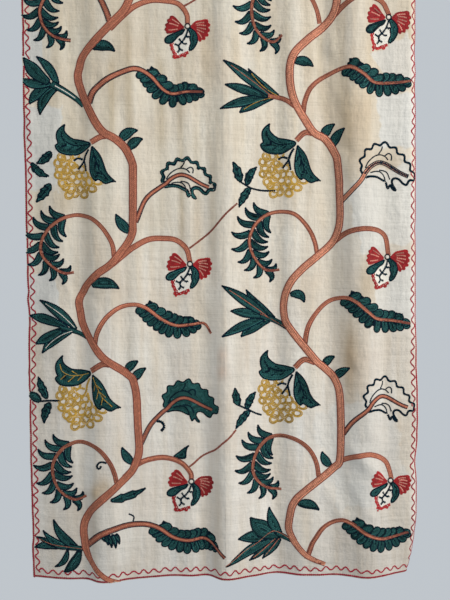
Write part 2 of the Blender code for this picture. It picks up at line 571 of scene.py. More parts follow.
@dataclass
class Patch:
    """A closed shape, worked in rows that follow its outline inwards. Its first point is a corner."""

    outline: list[Point] | Array
    edge: Thread = Thread.NAVY
    fill: Thread = Thread.GREEN
    veins: list[list[Point]] = field(default_factory=list)
    vein: Thread = Thread.NAVY
    edge_width: float = 0.0044
    under: Thread | None = None

    SPACING = 0.5
    PITCH = 1.16
    FIRST_INSET = 0.55
    SLACK = 0.13
    MOST_ROWS = 99
    VEIN_WIDTH = 0.0030
    VEIN_STITCH = 0.0040
    FILL_WIDTH = 0.0031
    FILL_STITCH = 0.0050

    def rows(self) -> list[Row]:
        """The veins, the outline, the fill and what is left between.

        Returns:
            The patch's rows.
        """
        if isinstance(self.outline, Array):
            path = even_path(self.outline, self.SPACING)[:-1]
        else:
            path = curve([*self.outline, self.outline[0]], self.SPACING)[:-1]
        after = np.roll(path, -1, axis=0)
        ahead = after - np.roll(path, 1, axis=0)
        ahead = ahead / np.maximum(np.linalg.norm(ahead, axis=1), TINY)[:, None]
        turning = np.sign((path[:, 0] * after[:, 1] - after[:, 0] * path[:, 1]).sum())
        inward = np.column_stack([-ahead[:, 1], ahead[:, 0]]) * turning
        made = []
        for line in self.veins:
            made.append(Row(self.vein, curve(line), Layer.VEIN, self.VEIN_WIDTH, self.VEIN_STITCH))
        for level in range(self.MOST_ROWS):
            inset = level * self.PITCH + self.FIRST_INSET
            moved = path + inward * inset
            gap = np.sqrt(((moved[:, None] - path[None]) ** 2).sum(axis=2)).min(axis=1)
            stretches = runs_of(gap > inset - self.SLACK)
            if not stretches:
                break
            for stretch in stretches:
                row = Row(self.fill, moved[stretch], Layer.OUTLINE, self.FILL_WIDTH, self.FILL_STITCH)
                if level == 0:
                    row = Row(self.edge, moved[stretch], Layer.OUTLINE, self.edge_width)
                made.append(row)
        made.append(Row(self.under or self.edge, path[::2], Layer.OUTLINE, kind=Kind.UNDER))
        return made


@dataclass
class Blade:
    """A leaf, lobe, leaflet or petal: a midline from base to tip and a half width along it.

    bow and bow_end push the midline to the viewer's left, near the base and near the tip. The half width
    starts at base_share of the belly, is fullest part way along, and closes by tip_power: low is round, high
    is drawn out.
    """

    base: Point
    tip: Point
    belly: float
    bow: float = 0.0
    bow_end: float | None = None
    fullest: float = 0.4
    base_share: float = 0.3
    tip_power: float = 1.0
    teeth: int = 0
    tooth: float = 0.16
    edge: Thread = Thread.NAVY
    fill: Thread = Thread.GREEN
    vein: Thread | None = None
    edge_width: float = 0.0044

    MARKS = 41
    PUSH = 1.33
    VEIN_REACH = slice(2, 34)
    VEIN_WIDTH = 0.0026
    VEIN_STITCH = 0.0042

    def midline(self) -> Array:
        """Points from base to tip."""
        base, tip = np.array(self.base, float), np.array(self.tip, float)
        chord = tip - base
        side = np.array([chord[1], -chord[0]]) / max(np.hypot(*chord), NEAR)
        end = self.bow if self.bow_end is None else self.bow_end
        first = base + chord / 3 + side * self.bow * self.PUSH
        second = base + chord * 2 / 3 + side * end * self.PUSH
        u = np.linspace(0, 1, self.MARKS)[:, None]
        return base * (1 - u) ** 3 + 3 * first * u * (1 - u) ** 2 + 3 * second * u**2 * (1 - u) + tip * u**3

    def half_width(self) -> Array:
        """Half widths from base to tip."""
        u = np.linspace(0, 1, self.MARKS)
        rise = self.base_share + (1 - self.base_share) * np.sin(np.pi / 2 * np.clip(u / self.fullest, 0, 1))
        close = np.cos(np.pi / 2 * np.clip((u - self.fullest) / (1 - self.fullest), 0, 1))
        width = self.belly * np.where(u < self.fullest, rise, np.maximum(close, 0.0) ** self.tip_power)
        if self.teeth:
            width = width * (1 - self.tooth * (1 - np.mod(self.teeth * u, 1.0)))
        return width

    def rows(self) -> list[Row]:
        """The blade's rows, with a vein down its middle if it has one."""
        middle, width = self.midline(), self.half_width()[:, None]
        side = left_of(middle)
        left, right = middle + side * width, middle - side * width
        outline = np.vstack([left, right[::-1], left[:1]])
        made = Patch(outline, self.edge, self.fill, edge_width=self.edge_width).rows()
        if self.vein:
            vein = middle[self.VEIN_REACH]
            made.append(Row(self.vein, vein, Layer.VEIN, self.VEIN_WIDTH, self.VEIN_STITCH))
        return made


def point_at(path: Array, start: float, end: float, part: float) -> int:
    """The number of the path's point that lies part of the way from a start share to an end share."""
    return int((start + (end - start) * part) * (len(path) - 1))


@dataclass
class Frond:
    """A curling stem with sickle-shaped leaflets along its outer and inner sides."""

    points: list[Point]
    width: tuple[float, float] = (4.8, 2.0)
    start: float = 0.45
    end: float = 0.95
    outer: int = 9
    inner: int = 7
    reach: float = 20.5
    belly: float = 3.5
    bow: float = 3.0
    bow_end: float = 5.6
    outline: Thread | None = None

    MARKS = (0.0, 0.25, 0.5, 0.75, 1.0)
    OUTER_LEAN = (32.0, 8.0, 26.0, 18.0, 34.0)
    INNER_LEAN = (14.0, 8.0, 12.0, 24.0, 34.0)
    SWELL = (0.95, 1.0, 1.0, 0.80, 0.58)
    FIRST = 0.4
    LEAST_BELLY = 0.72
    BELLY_GROWTH = 0.28

    def rows(self) -> list[Row]:
        """The stem's rows and the leaflets'."""
        made = Stem(self.points, self.width, outline=self.outline).rows()
        path = curve(self.points)
        normal = left_of(path)
        for side, count, leans in ((-1, self.outer, self.OUTER_LEAN), (1, self.inner, self.INNER_LEAN)):
            for k in range(count):
                part = (k + self.FIRST) / count
                at = point_at(path, self.start, self.end, part)
                way = turned(side * normal[at], -side * float(np.interp(part, self.MARKS, leans)))
                long = self.reach * float(np.interp(part, self.MARKS, self.SWELL))
                made += Blade(
                    tuple(path[at]),
                    tuple(path[at] + way * long),
                    belly=self.belly * (self.LEAST_BELLY + self.BELLY_GROWTH * long / self.reach),
                    bow=-side * self.bow,
                    bow_end=-side * self.bow_end,
                    fullest=0.30,
                    base_share=0.9,
                    tip_power=0.75,
                ).rows()
        return made


@dataclass
class FeatherLeaf:
    """A leaf of round-ended lobes packed along a midrib: leaning forward above it, fanned below it.

    UPPER and LOWER give the lobes' lengths and their angles from the midrib, at shares of its leafy part.
    """

    midrib: list[Point]
    start: float
    end: float
    upper: int = 8
    lower: int = 11
    width: tuple[float, ...] = (5.4, 4.4, 3.2, 1.9)
    upper_belly: float = 4.6
    lower_belly: float = 4.1
    bow: float = 1.2
    outline: Thread | None = None

    UPPER = (
        (0.0, 13.0, 40.0), (0.25, 16.0, 50.0), (0.6, 15.0, 52.0), (0.85, 11.5, 44.0), (1.0, 8.0, 24.0),
    )
    LOWER = (
        (0.0, 10.5, 136.0), (0.2, 13.0, 112.0), (0.6, 14.0, 90.0), (0.85, 12.5, 66.0), (1.0, 9.5, 40.0),
    )
    BODY_HALF = 9.0

    def rows(self) -> list[Row]:
        """The midrib's rows, the lobes' and the padding between them."""
        made = Stem(self.midrib, self.width, outline=self.outline).rows()
        path = curve(self.midrib)
        normal = left_of(path)
        forward = np.column_stack([-normal[:, 1], normal[:, 0]])
        above = (1, self.upper, self.UPPER, self.upper_belly)
        below = (-1, self.lower, self.LOWER, self.lower_belly)
        for side, count, shape, belly in (above, below):
            marks, reaches, angles = zip(*shape)
            for k in range(count):
                part = k / (count - 1)
                at = point_at(path, self.start, self.end, part)
                way = turned(forward[at], side * float(np.interp(part, marks, angles)))
                long = float(np.interp(part, marks, reaches))
                made += Blade(
                    tuple(path[at]),
                    tuple(path[at] + way * long),
                    belly=belly,
                    bow=-side * self.bow,
                    fullest=0.68,
                    base_share=0.8,
                    tip_power=0.5,
                    edge_width=0.0034,
                ).rows()
        leafy = slice(int(self.start * len(path)), int(self.end * len(path)))
        beside = normal[leafy] * self.BODY_HALF
        body = np.vstack([path[leafy] + beside, (path[leafy] - beside)[::-1]])
        made.append(Row(Thread.NAVY, body, Layer.GAP, kind=Kind.UNDER))
        return made


@dataclass
class SpikyLeaf:
    """A stem and pointed blades that fan from its end."""

    stem: list[Point]
    blades: list[Blade]
    width: tuple[float, ...] = (4.6, 6.4)
    edge: Thread = Thread.NAVY
    inside: Thread = Thread.GREEN
    midrib: list[Point] = field(default_factory=list)

    MIDRIB_WIDTH = 0.0024

    def rows(self) -> list[Row]:
        """The stem's rows and the blades'."""
        made = Stem(self.stem, self.width, self.edge, self.inside, layer=Layer.OUTLINE).rows()
        if self.midrib:
            made.append(Row(Thread.TERRACOTTA, curve(self.midrib), Layer.VEIN, self.MIDRIB_WIDTH))
        for blade in self.blades:
            made += blade.rows()
        return made


@dataclass(frozen=True)
class Place:
    """Where a repeated motif goes: its root on the chart, a turn to the left in degrees, and a size."""

    at: Point
    turn: float = 0.0
    size: float = 1.0
    tall: float = 1.0

    def spots(self, points: tuple[Point, ...] | list[Point]) -> list[Point]:
        """Places counted from the root, on the chart.

        Args:
            points: Steps right and down from the root.

        Returns:
            The same places on the chart.
        """
        made = []
        for x, y in points:
            way = turned(np.array((x * self.size, y * self.size * self.tall)), self.turn)
            made.append((self.at[0] + way[0], self.at[1] + way[1]))
        return made

    def curve(self, points: tuple[Point, ...] | list[Point]) -> Array:
        """A smooth curve through places counted from the root."""
        return curve(self.spots(points))


@dataclass
class OpenLeaf:
    """A large leaf with a scalloped upper edge, a notched lower one and a midrib that arches along it."""

    stem: list[Point]
    place: Place
    band: float = 2.6
    solid: bool = False
    edge: Thread = Thread.BRICK
    rib: Thread | None = None

    UPPER = ((0, 0), (-1, -8), (2, -17), (9, -23), (22, -26.5), (32, -22), (40, -15), (46, -7), (52, 3.5))
    SCALLOPS = 9
    SCALLOP_RISE = 3.4
    SCALLOP_START = 0.15
    BAND_ROWS = ((0.0, Thread.NAVY), (0.36, Thread.GREEN), (0.70, Thread.NAVY), (1.0, Thread.NAVY))
    THIN_ROWS = ((0.0, Thread.NAVY), (0.9, Thread.NAVY))
    LOWER = (
        (50, 5), (46, 4.5), (43, 8.5), (39, 7), (35.5, 3.5), (32, 2.5), (29.5, 4), (30, 7.5), (33, 12),
        (31.5, 12.8), (28.5, 10.5), (27.5, 8), (25.5, 11), (24, 10), (22.5, 5.5), (19, 3.5), (14, 1),
        (7, 0.5), (2, 1.5),
    )
    MIDRIB = ((2, -2), (7, -7), (13, -10.5), (18, -11.5), (24, -10), (31, -6), (38, -2), (45, 1))
    VEINS = (
        ((3, -7), (6, -12), (12, -16.5), (18, -18), (23, -16.5), (26, -13.5)),
        ((17, -18.5), (20, -22), (21, -25)),
        ((23, -17), (27, -19), (29.5, -17), (29, -13)),
        ((8, -3), (13, -4), (18, -3.5), (21.5, 0), (22.5, 5)),
        ((17, -5), (21, -4.5), (25, -2.5), (27, 3)),
    )

    STEM_WIDTH = (3.6, 2.4)
    RIB_WIDTH = 0.0076
    EDGE_WIDTH = 0.0038
    VEIN_WIDTH = 0.0038
    SOLID_VEIN_WIDTH = 0.0056
    STITCH = 0.0040
    THIN_BAND = 2.0
    LOWER_BAND = 0.9

    def rows(self) -> list[Row]:
        """The stem, midrib, edge and veins."""
        upper = self.place.curve(self.UPPER)
        share = np.linspace(0.0, 1.0, len(upper))
        wave = (1.0 - np.cos(2.0 * np.pi * self.SCALLOPS * share)) * smooth(share / self.SCALLOP_START)
        edge = upper + left_of(upper) * (self.SCALLOP_RISE / 2 * wave)[:, None]
        lower = self.place.curve((self.UPPER[-1], *self.LOWER, self.UPPER[0]))
        rib = [*self.stem, *self.place.spots(self.MIDRIB)]
        made = Stem(rib, self.STEM_WIDTH, edge=self.edge, outline=Thread.NAVY).rows()
        if self.rib:
            midrib = self.place.curve(self.MIDRIB)
            made.insert(0, Row(self.rib, midrib, Layer.STEM, self.RIB_WIDTH, self.STITCH))
        width = self.SOLID_VEIN_WIDTH if self.solid else self.VEIN_WIDTH
        for vein in self.VEINS:
            made.append(Row(Thread.NAVY, self.place.curve(vein), Layer.VEIN, width, self.STITCH))
        if self.solid:
            return made + Patch(np.vstack([edge, lower[1:]]), under=Thread.GREEN).rows()
        for share, thread in self.BAND_ROWS if self.band > self.THIN_BAND else self.THIN_ROWS:
            above = edge - left_of(upper) * self.band * share
            below = lower - left_of(lower) * self.band * share * self.LOWER_BAND
            made += [Row(thread, above, width=self.EDGE_WIDTH), Row(thread, below, width=self.EDGE_WIDTH)]
        return made


@dataclass
class Berries:
    """A cluster of thick gold rings under a forked stalk, between two toothed leaves."""

    place: Place
    vein: Thread = Thread.NAVY
    radii: tuple[float, float] = (4.2, 2.9)

    LEAF_LEFT = (
        (-1, -1), (-8, -3), (-13, -4), (-18, -5), (-22.5, -8), (-26, -12), (-26.5, -16), (-25.5, -19.5),
        (-28, -18.5), (-32, -15), (-34.5, -11), (-34.7, -5), (-33.5, 0), (-36, 1), (-36, 4), (-33, 8.5),
        (-28, 11), (-21, 12), (-14, 11.5), (-8, 8.5), (-3, 5), (0, 2),
    )
    LEAF_RIGHT = (
        (1, 2), (4, 5), (9, 11), (12, 18), (14, 25), (16.5, 30), (20, 34), (25, 38.7), (20, 38.5),
        (15, 40.5), (11, 39), (8, 36.5), (6, 36), (5, 38), (2, 36), (-0.5, 32), (-2, 26), (-2, 19), (-1, 12),
        (0, 6),
    )
    VEINS_LEFT = (
        ((-2, 1), (-12, 2), (-21, 1), (-28, -4), (-30, -11)), ((-9, 2), (-15, 7)), ((-17, 2), (-24, 7)),
        ((-24, -1), (-31, 4)), ((-13, 2), (-19, -3)),
    )
    VEINS_RIGHT = (
        ((1, 5), (4, 15), (8, 26), (16, 36)), ((3, 12), (0, 19)), ((3, 12), (8, 18)), ((5, 19), (2, 27)),
        ((5, 19), (11, 26)), ((8, 26), (6, 33)),
    )
    STALK = (
        ((-2.5, 6), (-6, 12), (-8, 18), (-11, 22), (-14, 25.5)), ((-18, 17), (-14, 14.5), (-9, 16)),
        ((-7.5, 18), (-6.5, 23), (-6, 27.5)),
    )
    STALK_WIDTH = 0.0064
    RING_WIDTH = 0.0036
    RING_STITCH = 0.0042
    RING_POINTS = 25
    RING_STEP = 7.0
    SWAY_ACROSS = 0.9
    SWAY_DOWN = 1.2
    UNEVEN = 0.14
    WOBBLE = 0.10
    RING_ROWS = (
        (13.5, -30.5, 3), (19.8, -34.0, 3), (26.0, -31.5, 4), (32.3, -34.0, 5), (38.5, -29.5, 6),
        (44.7, -26.5, 5), (50.2, -22.5, 3),
    )

    def rows(self) -> list[Row]:
        """The leaves, the stalk and the rings."""
        made = []
        for outline, veins in ((self.LEAF_LEFT, self.VEINS_LEFT), (self.LEAF_RIGHT, self.VEINS_RIGHT)):
            lines = [self.place.spots(vein) for vein in veins]
            made += Patch(self.place.spots(outline), veins=lines, vein=self.vein).rows()
        for line in self.STALK:
            made.append(Row(self.vein, self.place.curve(line), Layer.VEIN, self.STALK_WIDTH))
        centres = []
        for y, x, count in self.RING_ROWS:
            for k in range(count):
                sway = self.SWAY_ACROSS * math.sin(y + 4 * k)
                centres.append((x + self.RING_STEP * k + sway, y + self.SWAY_DOWN * math.sin(x + 2 * k)))
        turn = np.linspace(0.0, 2.0 * np.pi, self.RING_POINTS)
        for number, centre in enumerate(self.place.spots(centres)):
            wide, tall = (1.0 + self.UNEVEN * math.sin(part) for part in (2.3 * number, 1.7 * number + 1.0))
            wobble = 1.0 + self.WOBBLE * np.sin(2.0 * turn + 1.3 * number)
            for radius in self.radii:
                round_it = np.column_stack([np.cos(turn), np.sin(turn)]) * wobble[:, None]
                ring = round_it * np.array((wide, tall)) * radius + np.array(centre)
                made.append(Row(Thread.GOLD, ring, width=self.RING_WIDTH, length=self.RING_STITCH))
        return made


@dataclass
class Flower:
    """A drooping flower: two fans of red petals, dark sepals and a pale veined heart with a jagged edge."""

    place: Place

    FAN_LEFT = (
        (-3, 1), (-7, -3.5), (-11, -8.5), (-14.5, -11), (-17.4, -10.4), (-17.2, -8.2), (-20, -7.8),
        (-20, -5.2), (-18.9, -4.2), (-22, -3.2), (-22.1, -0.8), (-20.7, 0.2), (-22.9, 1.6), (-22.5, 3.8),
        (-20.9, 4.2), (-21.6, 6), (-19, 6.8), (-12, 5), (-6, 3),
    )
    FAN_RIGHT = (
        (3, 0), (8, -4.5), (14, -5.6), (18.4, -6.4), (21.3, -4.6), (20, -2.8), (22.8, -1.2), (22, 1.1),
        (19.8, 1.7), (22, 4), (21, 6.6), (18.8, 6.8), (20.8, 9.4), (18.6, 11), (16.6, 10.4), (17.4, 13.3),
        (14.6, 14.2), (13.2, 13), (12.6, 16), (10, 14), (9.5, 9), (7, 4.5), (3.5, 1.8),
    )
    STREAKS = (
        ((-8, -2.5), (-12, -5.5), (-15, -7.5)), ((-9, -0.5), (-14, -2.6), (-18, -3.6)),
        ((-10, 2.4), (-15, 3), (-19, 3)), ((8, -1.8), (12, -3), (16.5, -3.2)),
        ((9, -0.4), (13, -0.8), (18, 0.2)), ((9, 1.6), (13, 2.4), (18, 3.6)),
        ((8.5, 3.2), (12, 5), (16, 6.8)), ((9.5, 6), (12, 9), (13.6, 12.2)),
    )
    SEPAL_LEFT = (
        (-2.5, 2), (-9, 4), (-15, 6.5), (-20, 8.5), (-23.4, 12), (-23, 15.5), (-20, 16.8), (-15.5, 16),
        (-12, 12.5), (-9, 9.5), (-5, 7.5), (-3, 4.5),
    )
    SEPAL_RIGHT = (
        (2.5, 1), (7, 4.5), (9.5, 8.5), (9.9, 13), (8.5, 18), (5, 23), (1.5, 25), (0.3, 24), (0.7, 20.5),
        (2.2, 17), (1.2, 12.5), (2, 9), (0.8, 5), (0.2, 2),
    )
    HEART_EDGE = (
        (-15.5, 15.5), (-16.6, 18), (-16, 21), (-15.2, 24), (-13.2, 27), (-14.8, 31.6), (-11.5, 29.3),
        (-9, 30.2), (-6.5, 28), (-4, 29), (-2, 26.5), (0, 25.8),
    )
    VEINS = (
        ((0.3, 2.5), (-1.6, 8.5), (-4.2, 13), (-6.4, 15.6), (-9.6, 18.8), (-8.8, 22.8), (-10.9, 25.6)),
        ((-2.2, 9.8), (0, 11.2), (1.8, 10)), ((-6.4, 15.6), (-7.2, 14.4), (-8.8, 12)),
        ((-6.2, 15.8), (-3.3, 17.9), (-1.2, 17.1)), ((-9.6, 18.8), (-13.4, 17)), ((-8.8, 22.4), (-5.4, 24)),
    )

    KNOT = ((0.9, Thread.CREAM), (2.6, Thread.NAVY))
    KNOT_POINTS = 17
    KNOT_WIDTH = 0.0038
    KNOT_STITCH = 0.0030
    STREAK_WIDTH = 0.0042
    SEPAL_EDGE = 0.0046
    HEART_ROWS = (0.8, -0.8)
    HEART_WIDTH = 0.0048
    JAG = 0.8
    JAGS = 9
    VEIN_WIDTH = 0.0072
    VEIN_STITCH = 0.0034

    def rows(self) -> list[Row]:
        """All rows of the flower."""
        curve_of, spots = self.place.curve, self.place.spots
        made = []
        turn = np.linspace(0.0, 2.0 * np.pi, self.KNOT_POINTS)
        for radius, thread in self.KNOT:
            ring = np.column_stack([np.cos(turn), np.sin(turn)]) * radius + np.array(self.place.at)
            made.append(Row(thread, ring, Layer.KNOT, self.KNOT_WIDTH, self.KNOT_STITCH))
        for streak in self.STREAKS:
            made.append(Row(Thread.PINK, curve_of(streak), Layer.VEIN, self.STREAK_WIDTH))
        for fan in (self.FAN_LEFT, self.FAN_RIGHT):
            made += Patch(spots(fan), edge=Thread.RED, fill=Thread.RED).rows()
        for sepal in (self.SEPAL_LEFT, self.SEPAL_RIGHT):
            made += Patch(spots(sepal), edge_width=self.SEPAL_EDGE).rows()
        edge = curve_of(self.HEART_EDGE)
        jags = self.JAG * np.sin(np.linspace(0.0, 2 * self.JAGS * np.pi, len(edge)))[:, None]
        for shift in self.HEART_ROWS:
            made.append(Row(Thread.RED, edge + left_of(edge) * (shift + jags), width=self.HEART_WIDTH))
        for vein in self.VEINS:
            path = curve_of(vein)
            made.append(Row(Thread.NAVY, path, Layer.VEIN, self.VEIN_WIDTH, self.VEIN_STITCH, crossing=True))
        heart = (*self.HEART_EDGE, *self.SEPAL_RIGHT[8:], *self.SEPAL_LEFT[7:])
        made.append(Row(Thread.CREAM, curve_of(heart), Layer.GAP, kind=Kind.UNDER))
        return made


@dataclass
class Line:
    """A single row along a curve, such as a tendril."""

    points: list[Point]
    thread: Thread = Thread.BRICK
    width: float = 0.0056

    STITCH = 0.0042

    def rows(self) -> list[Row]:
        """The tendril's row."""
        return [Row(self.thread, curve(self.points), Layer.STEM, self.width, self.STITCH)]


Motif = Stem | Patch | Blade | Frond | FeatherLeaf | SpikyLeaf | OpenLeaf | Berries | Flower | Line


SMALL_LEAF_SWELL = 1.14


def leaf(base: Point, tip: Point, belly: float, bow: float = 0.0, teeth: int = 0) -> Blade:
    """A small pointed leaf from its base to its tip, with its half width, bow to the left and teeth."""
    return Blade(base, tip, SMALL_LEAF_SWELL * belly, bow=bow, base_share=0.45, teeth=teeth, tooth=0.36)


@dataclass
class Vine:
    """One of the two winding stems with everything that grows from it.

    The stem's points run down through the shown repeats. The root is its last stretch, which narrows. Each
    repeat lists what grows in it, from the top one down.
    """

    inside: Thread
    stem: list[Point]
    root: list[Point]
    repeats: list[list[Motif]]

    PERIOD = 242.0
    OVERLAP = 8
    WIDTHS = (8.2,) * 10 + (7.7,) * 8 + (3.8,)

    def rows(self) -> list[Row]:
        """Every row of the vine, with its first repeat worked once more above the chart's top."""
        last = self.stem[0][1] + self.PERIOD - self.OVERLAP
        above = [(x, y - self.PERIOD) for x, y in self.stem if y < last]
        made = Stem(above + self.stem + self.root[1:], self.WIDTHS, inside=self.inside).rows()
        for number, repeat in enumerate(self.repeats):
            for motif in repeat:
                rows = motif.rows()
                made += rows
                if number == 0:
                    made += [replace(row, path=row.path - (0.0, self.PERIOD)) for row in rows]
        return made


def left_vine() -> Vine:
    """The vine on the left loom width, as charted."""
    stem = [
        (131, -5), (125, 11), (113, 24), (98, 40), (86, 54), (80, 67), (79, 83), (92, 115), (103, 132),
        (115, 139), (125, 148), (132, 162), (133, 176), (133, 219), (131, 237), (113, 262), (99, 273),
        (87, 285), (80, 298), (80, 310), (85, 329), (103, 356), (126, 372), (135, 385), (138, 429),
        (139, 449), (136, 462), (128, 475), (100, 500), (89, 512), (83, 526), (85, 545),
    ]
    root = [(85, 545), (92, 561), (106, 574), (122, 581)]
    first = [
        Stem([
            (110, 31), (122, 19), (135, 8), (150, 2), (165, 2), (178, 5), (186, 15), (187, 25.5),
        ], (6.4, 4.6)),
        Flower(Place((187, 27), 2.0)),
        Line([(182, 8), (191, 3), (204, -6), (213, -14), (226, -29), (237, -39)]),
        Frond([
            (110, 23), (106, 12), (100, 0), (90, -12), (80, -20), (66, -21), (53, -12), (45, 1), (41, 11),
            (41, 20), (45, 30), (54, 38), (63, 41), (71, 42),
        ], outline=Thread.NAVY),
        FeatherLeaf([
            (90, 104), (95, 92), (109, 80), (126, 72), (138, 70), (151, 77), (162, 89), (172, 94), (186, 92),
            (202, 92),
        ], 0.53, 0.95, outline=Thread.NAVY),
        Line([(76, 99), (66, 92.5), (56, 87)], Thread.CREAM, 0.0036),
        SpikyLeaf([(84, 107), (77, 100), (66, 92.5), (52, 85)], [
            Blade((58, 86), (36, 57), 4.4, bow=-3.0, fullest=0.5, base_share=0.6),
            Blade((50, 84), (24, 58), 6.4, bow=2.5, fullest=0.55, base_share=0.5),
            Blade((52, 85), (21, 79), 4.6, bow=3.5, fullest=0.6, base_share=0.5),
            Blade((51, 87), (30, 106), 5.2, bow=-3.0, fullest=0.55, base_share=0.5),
            Blade((58, 88), (41, 117), 5.4, bow=-5.0, fullest=0.5, base_share=0.6),
        ], width=(4.0, 6.0, 7.6)),
        Stem([(118, 139), (104, 137), (92, 143)], (6.4, 5.8)),
        Berries(Place((92, 144))),
        leaf((52, 152), (36, 164), 4.8, 2.0, 4), leaf((32, 163), (51, 177), 4.2, -3.0, 3),
        leaf((51, 184), (36, 203), 5.2, 0.5, 4),
        OpenLeaf([(136, 222), (146, 199), (160, 187)], Place((163, 186)), 2.8),
        leaf((93, 50), (116, 54), 4.8, 4.5),
        leaf((121, 142), (139, 131), 4.6, 3.5), leaf((129, 150), (144, 139), 4.4, 2.5),
        leaf((131, 232), (116, 213), 4.4, 2.0),
    ]
    second = [
        Stem([
            (110, 266), (122, 256), (135, 246), (149, 239), (164, 238), (176, 240), (186, 249), (189, 262),
        ], (6.6, 4.8)),
        Flower(Place((189, 263.5))),
        Line([(186, 250), (191, 246), (204, 236), (213, 228), (226, 213), (237, 203)]),
        Frond([
            (115, 260), (113, 245), (105, 230), (95, 220), (85, 216), (75, 215), (62, 219), (50, 228),
            (42, 240), (41, 250), (45, 259), (55, 268), (65, 273), (74, 272),
        ]),
        FeatherLeaf([
            (95, 347), (98, 332), (107, 317), (120, 307), (135, 304), (147, 308), (160, 318), (175, 325),
            (190, 324), (203, 323), (210, 333),
        ], 0.50, 0.84),
        SpikyLeaf([(90, 339), (80, 333), (72, 330), (60, 327)], [
            Blade((76, 329), (39, 299), 5.2, bow=-2.5, fullest=0.5, vein=Thread.CREAM),
            Blade((68, 327), (28, 315), 5.0, bow=-1.5, fullest=0.6),
            Blade((66, 327), (35, 344), 5.0, fullest=0.6),
            Blade((74, 330), (42, 354), 5.2, bow=-4.5, fullest=0.5, vein=Thread.CREAM),
        ], width=(3.4, 5.6)),
        Stem([(115, 365), (104, 363), (92, 370)], (6.4, 5.8)),
        Berries(Place((92, 371), 7.0, 1.02), Thread.GOLD),
        Line([(60, 400), (50, 400), (40, 401)], Thread.NAVY),
        leaf((48, 398), (39, 375), 4.6, 1.0, 4), leaf((41, 401), (28, 391), 4.0),
        leaf((51, 402), (45, 424), 4.8, -2.0, 4),
        OpenLeaf([(141, 443), (150, 425), (161, 413)], Place((164.5, 411), 3.0, 1.03, 1.05), solid=True),
        leaf((93, 285), (121, 289), 5.0, 4.5),
        leaf((126, 372), (139, 360), 3.8, 2.0), leaf((133, 381), (147, 367), 3.8, 2.0),
        Line([(156, 421), (161, 422), (163.5, 427), (160.5, 431)], Thread.NAVY, 0.0080),
    ]
    third = [
        Stem([
            (114, 489), (126, 475), (137, 464), (150, 459), (165, 458), (180, 463), (189, 473), (190, 480.5),
        ], (6.2, 4.6)),
        Flower(Place((190, 482), -3.0)),
        Line([
            (188, 467), (192, 464), (200, 457), (207, 453), (215, 449), (222, 443), (229, 437), (236, 429),
        ]),
        Frond([
            (118, 486), (115, 472), (109, 459), (98, 447), (80, 441), (66, 446), (57, 456), (53, 469),
            (56, 483), (63, 493), (75, 499), (86, 495),
        ]),
        FeatherLeaf([
            (86, 545), (103, 531), (123, 525), (143, 524), (158, 529), (172, 539), (186, 542), (201, 540),
            (212, 545), (225, 556),
        ], 0.51, 0.88, upper=9, lower=12, outline=Thread.NAVY),
        SpikyLeaf([(86, 549), (78, 548), (70, 547)], [
            Blade((78, 547), (53, 518), 4.8, bow=5.0),
            Blade((72, 547), (42, 530), 4.2, bow=5.0),
            Blade((72, 547), (34, 538), 3.8, bow=1.0),
            Blade((70, 549), (34, 550), 4.2, bow=-3.5, fullest=0.6),
            Blade((68, 549), (53, 568), 3.0, bow=4.5),
            Blade((80, 548), (63, 573), 5.0, bow=3.5, fullest=0.55),
        ], midrib=[(84, 549), (70, 547), (52, 545), (40, 541)]),
        *[Blade((x, 531.5), (x + 4.5, tip), 2.4, bow=1.0, base_share=0.9, fullest=0.3)
          for x, tip in ((101, 539), (104.5, 543), (108, 546), (112, 547), (115.5, 543))],
        leaf((111, 498), (147, 487), 4.4, -2.5, 3),
        leaf((134, 463), (122, 445), 3.8, 2.0),
        Line([(109, 462), (103, 460), (99, 462), (98, 466), (101, 467), (102, 464)], Thread.NAVY),
        Line([(133, 521), (134, 516), (129, 513)], Thread.NAVY, 0.0044),
        Patch([(193, 443), (187, 447), (185, 453), (184, 459), (172, 458), (179, 451), (186, 446)]),
    ]
    return Vine(Thread.TERRACOTTA, stem, root, [first, second, third])


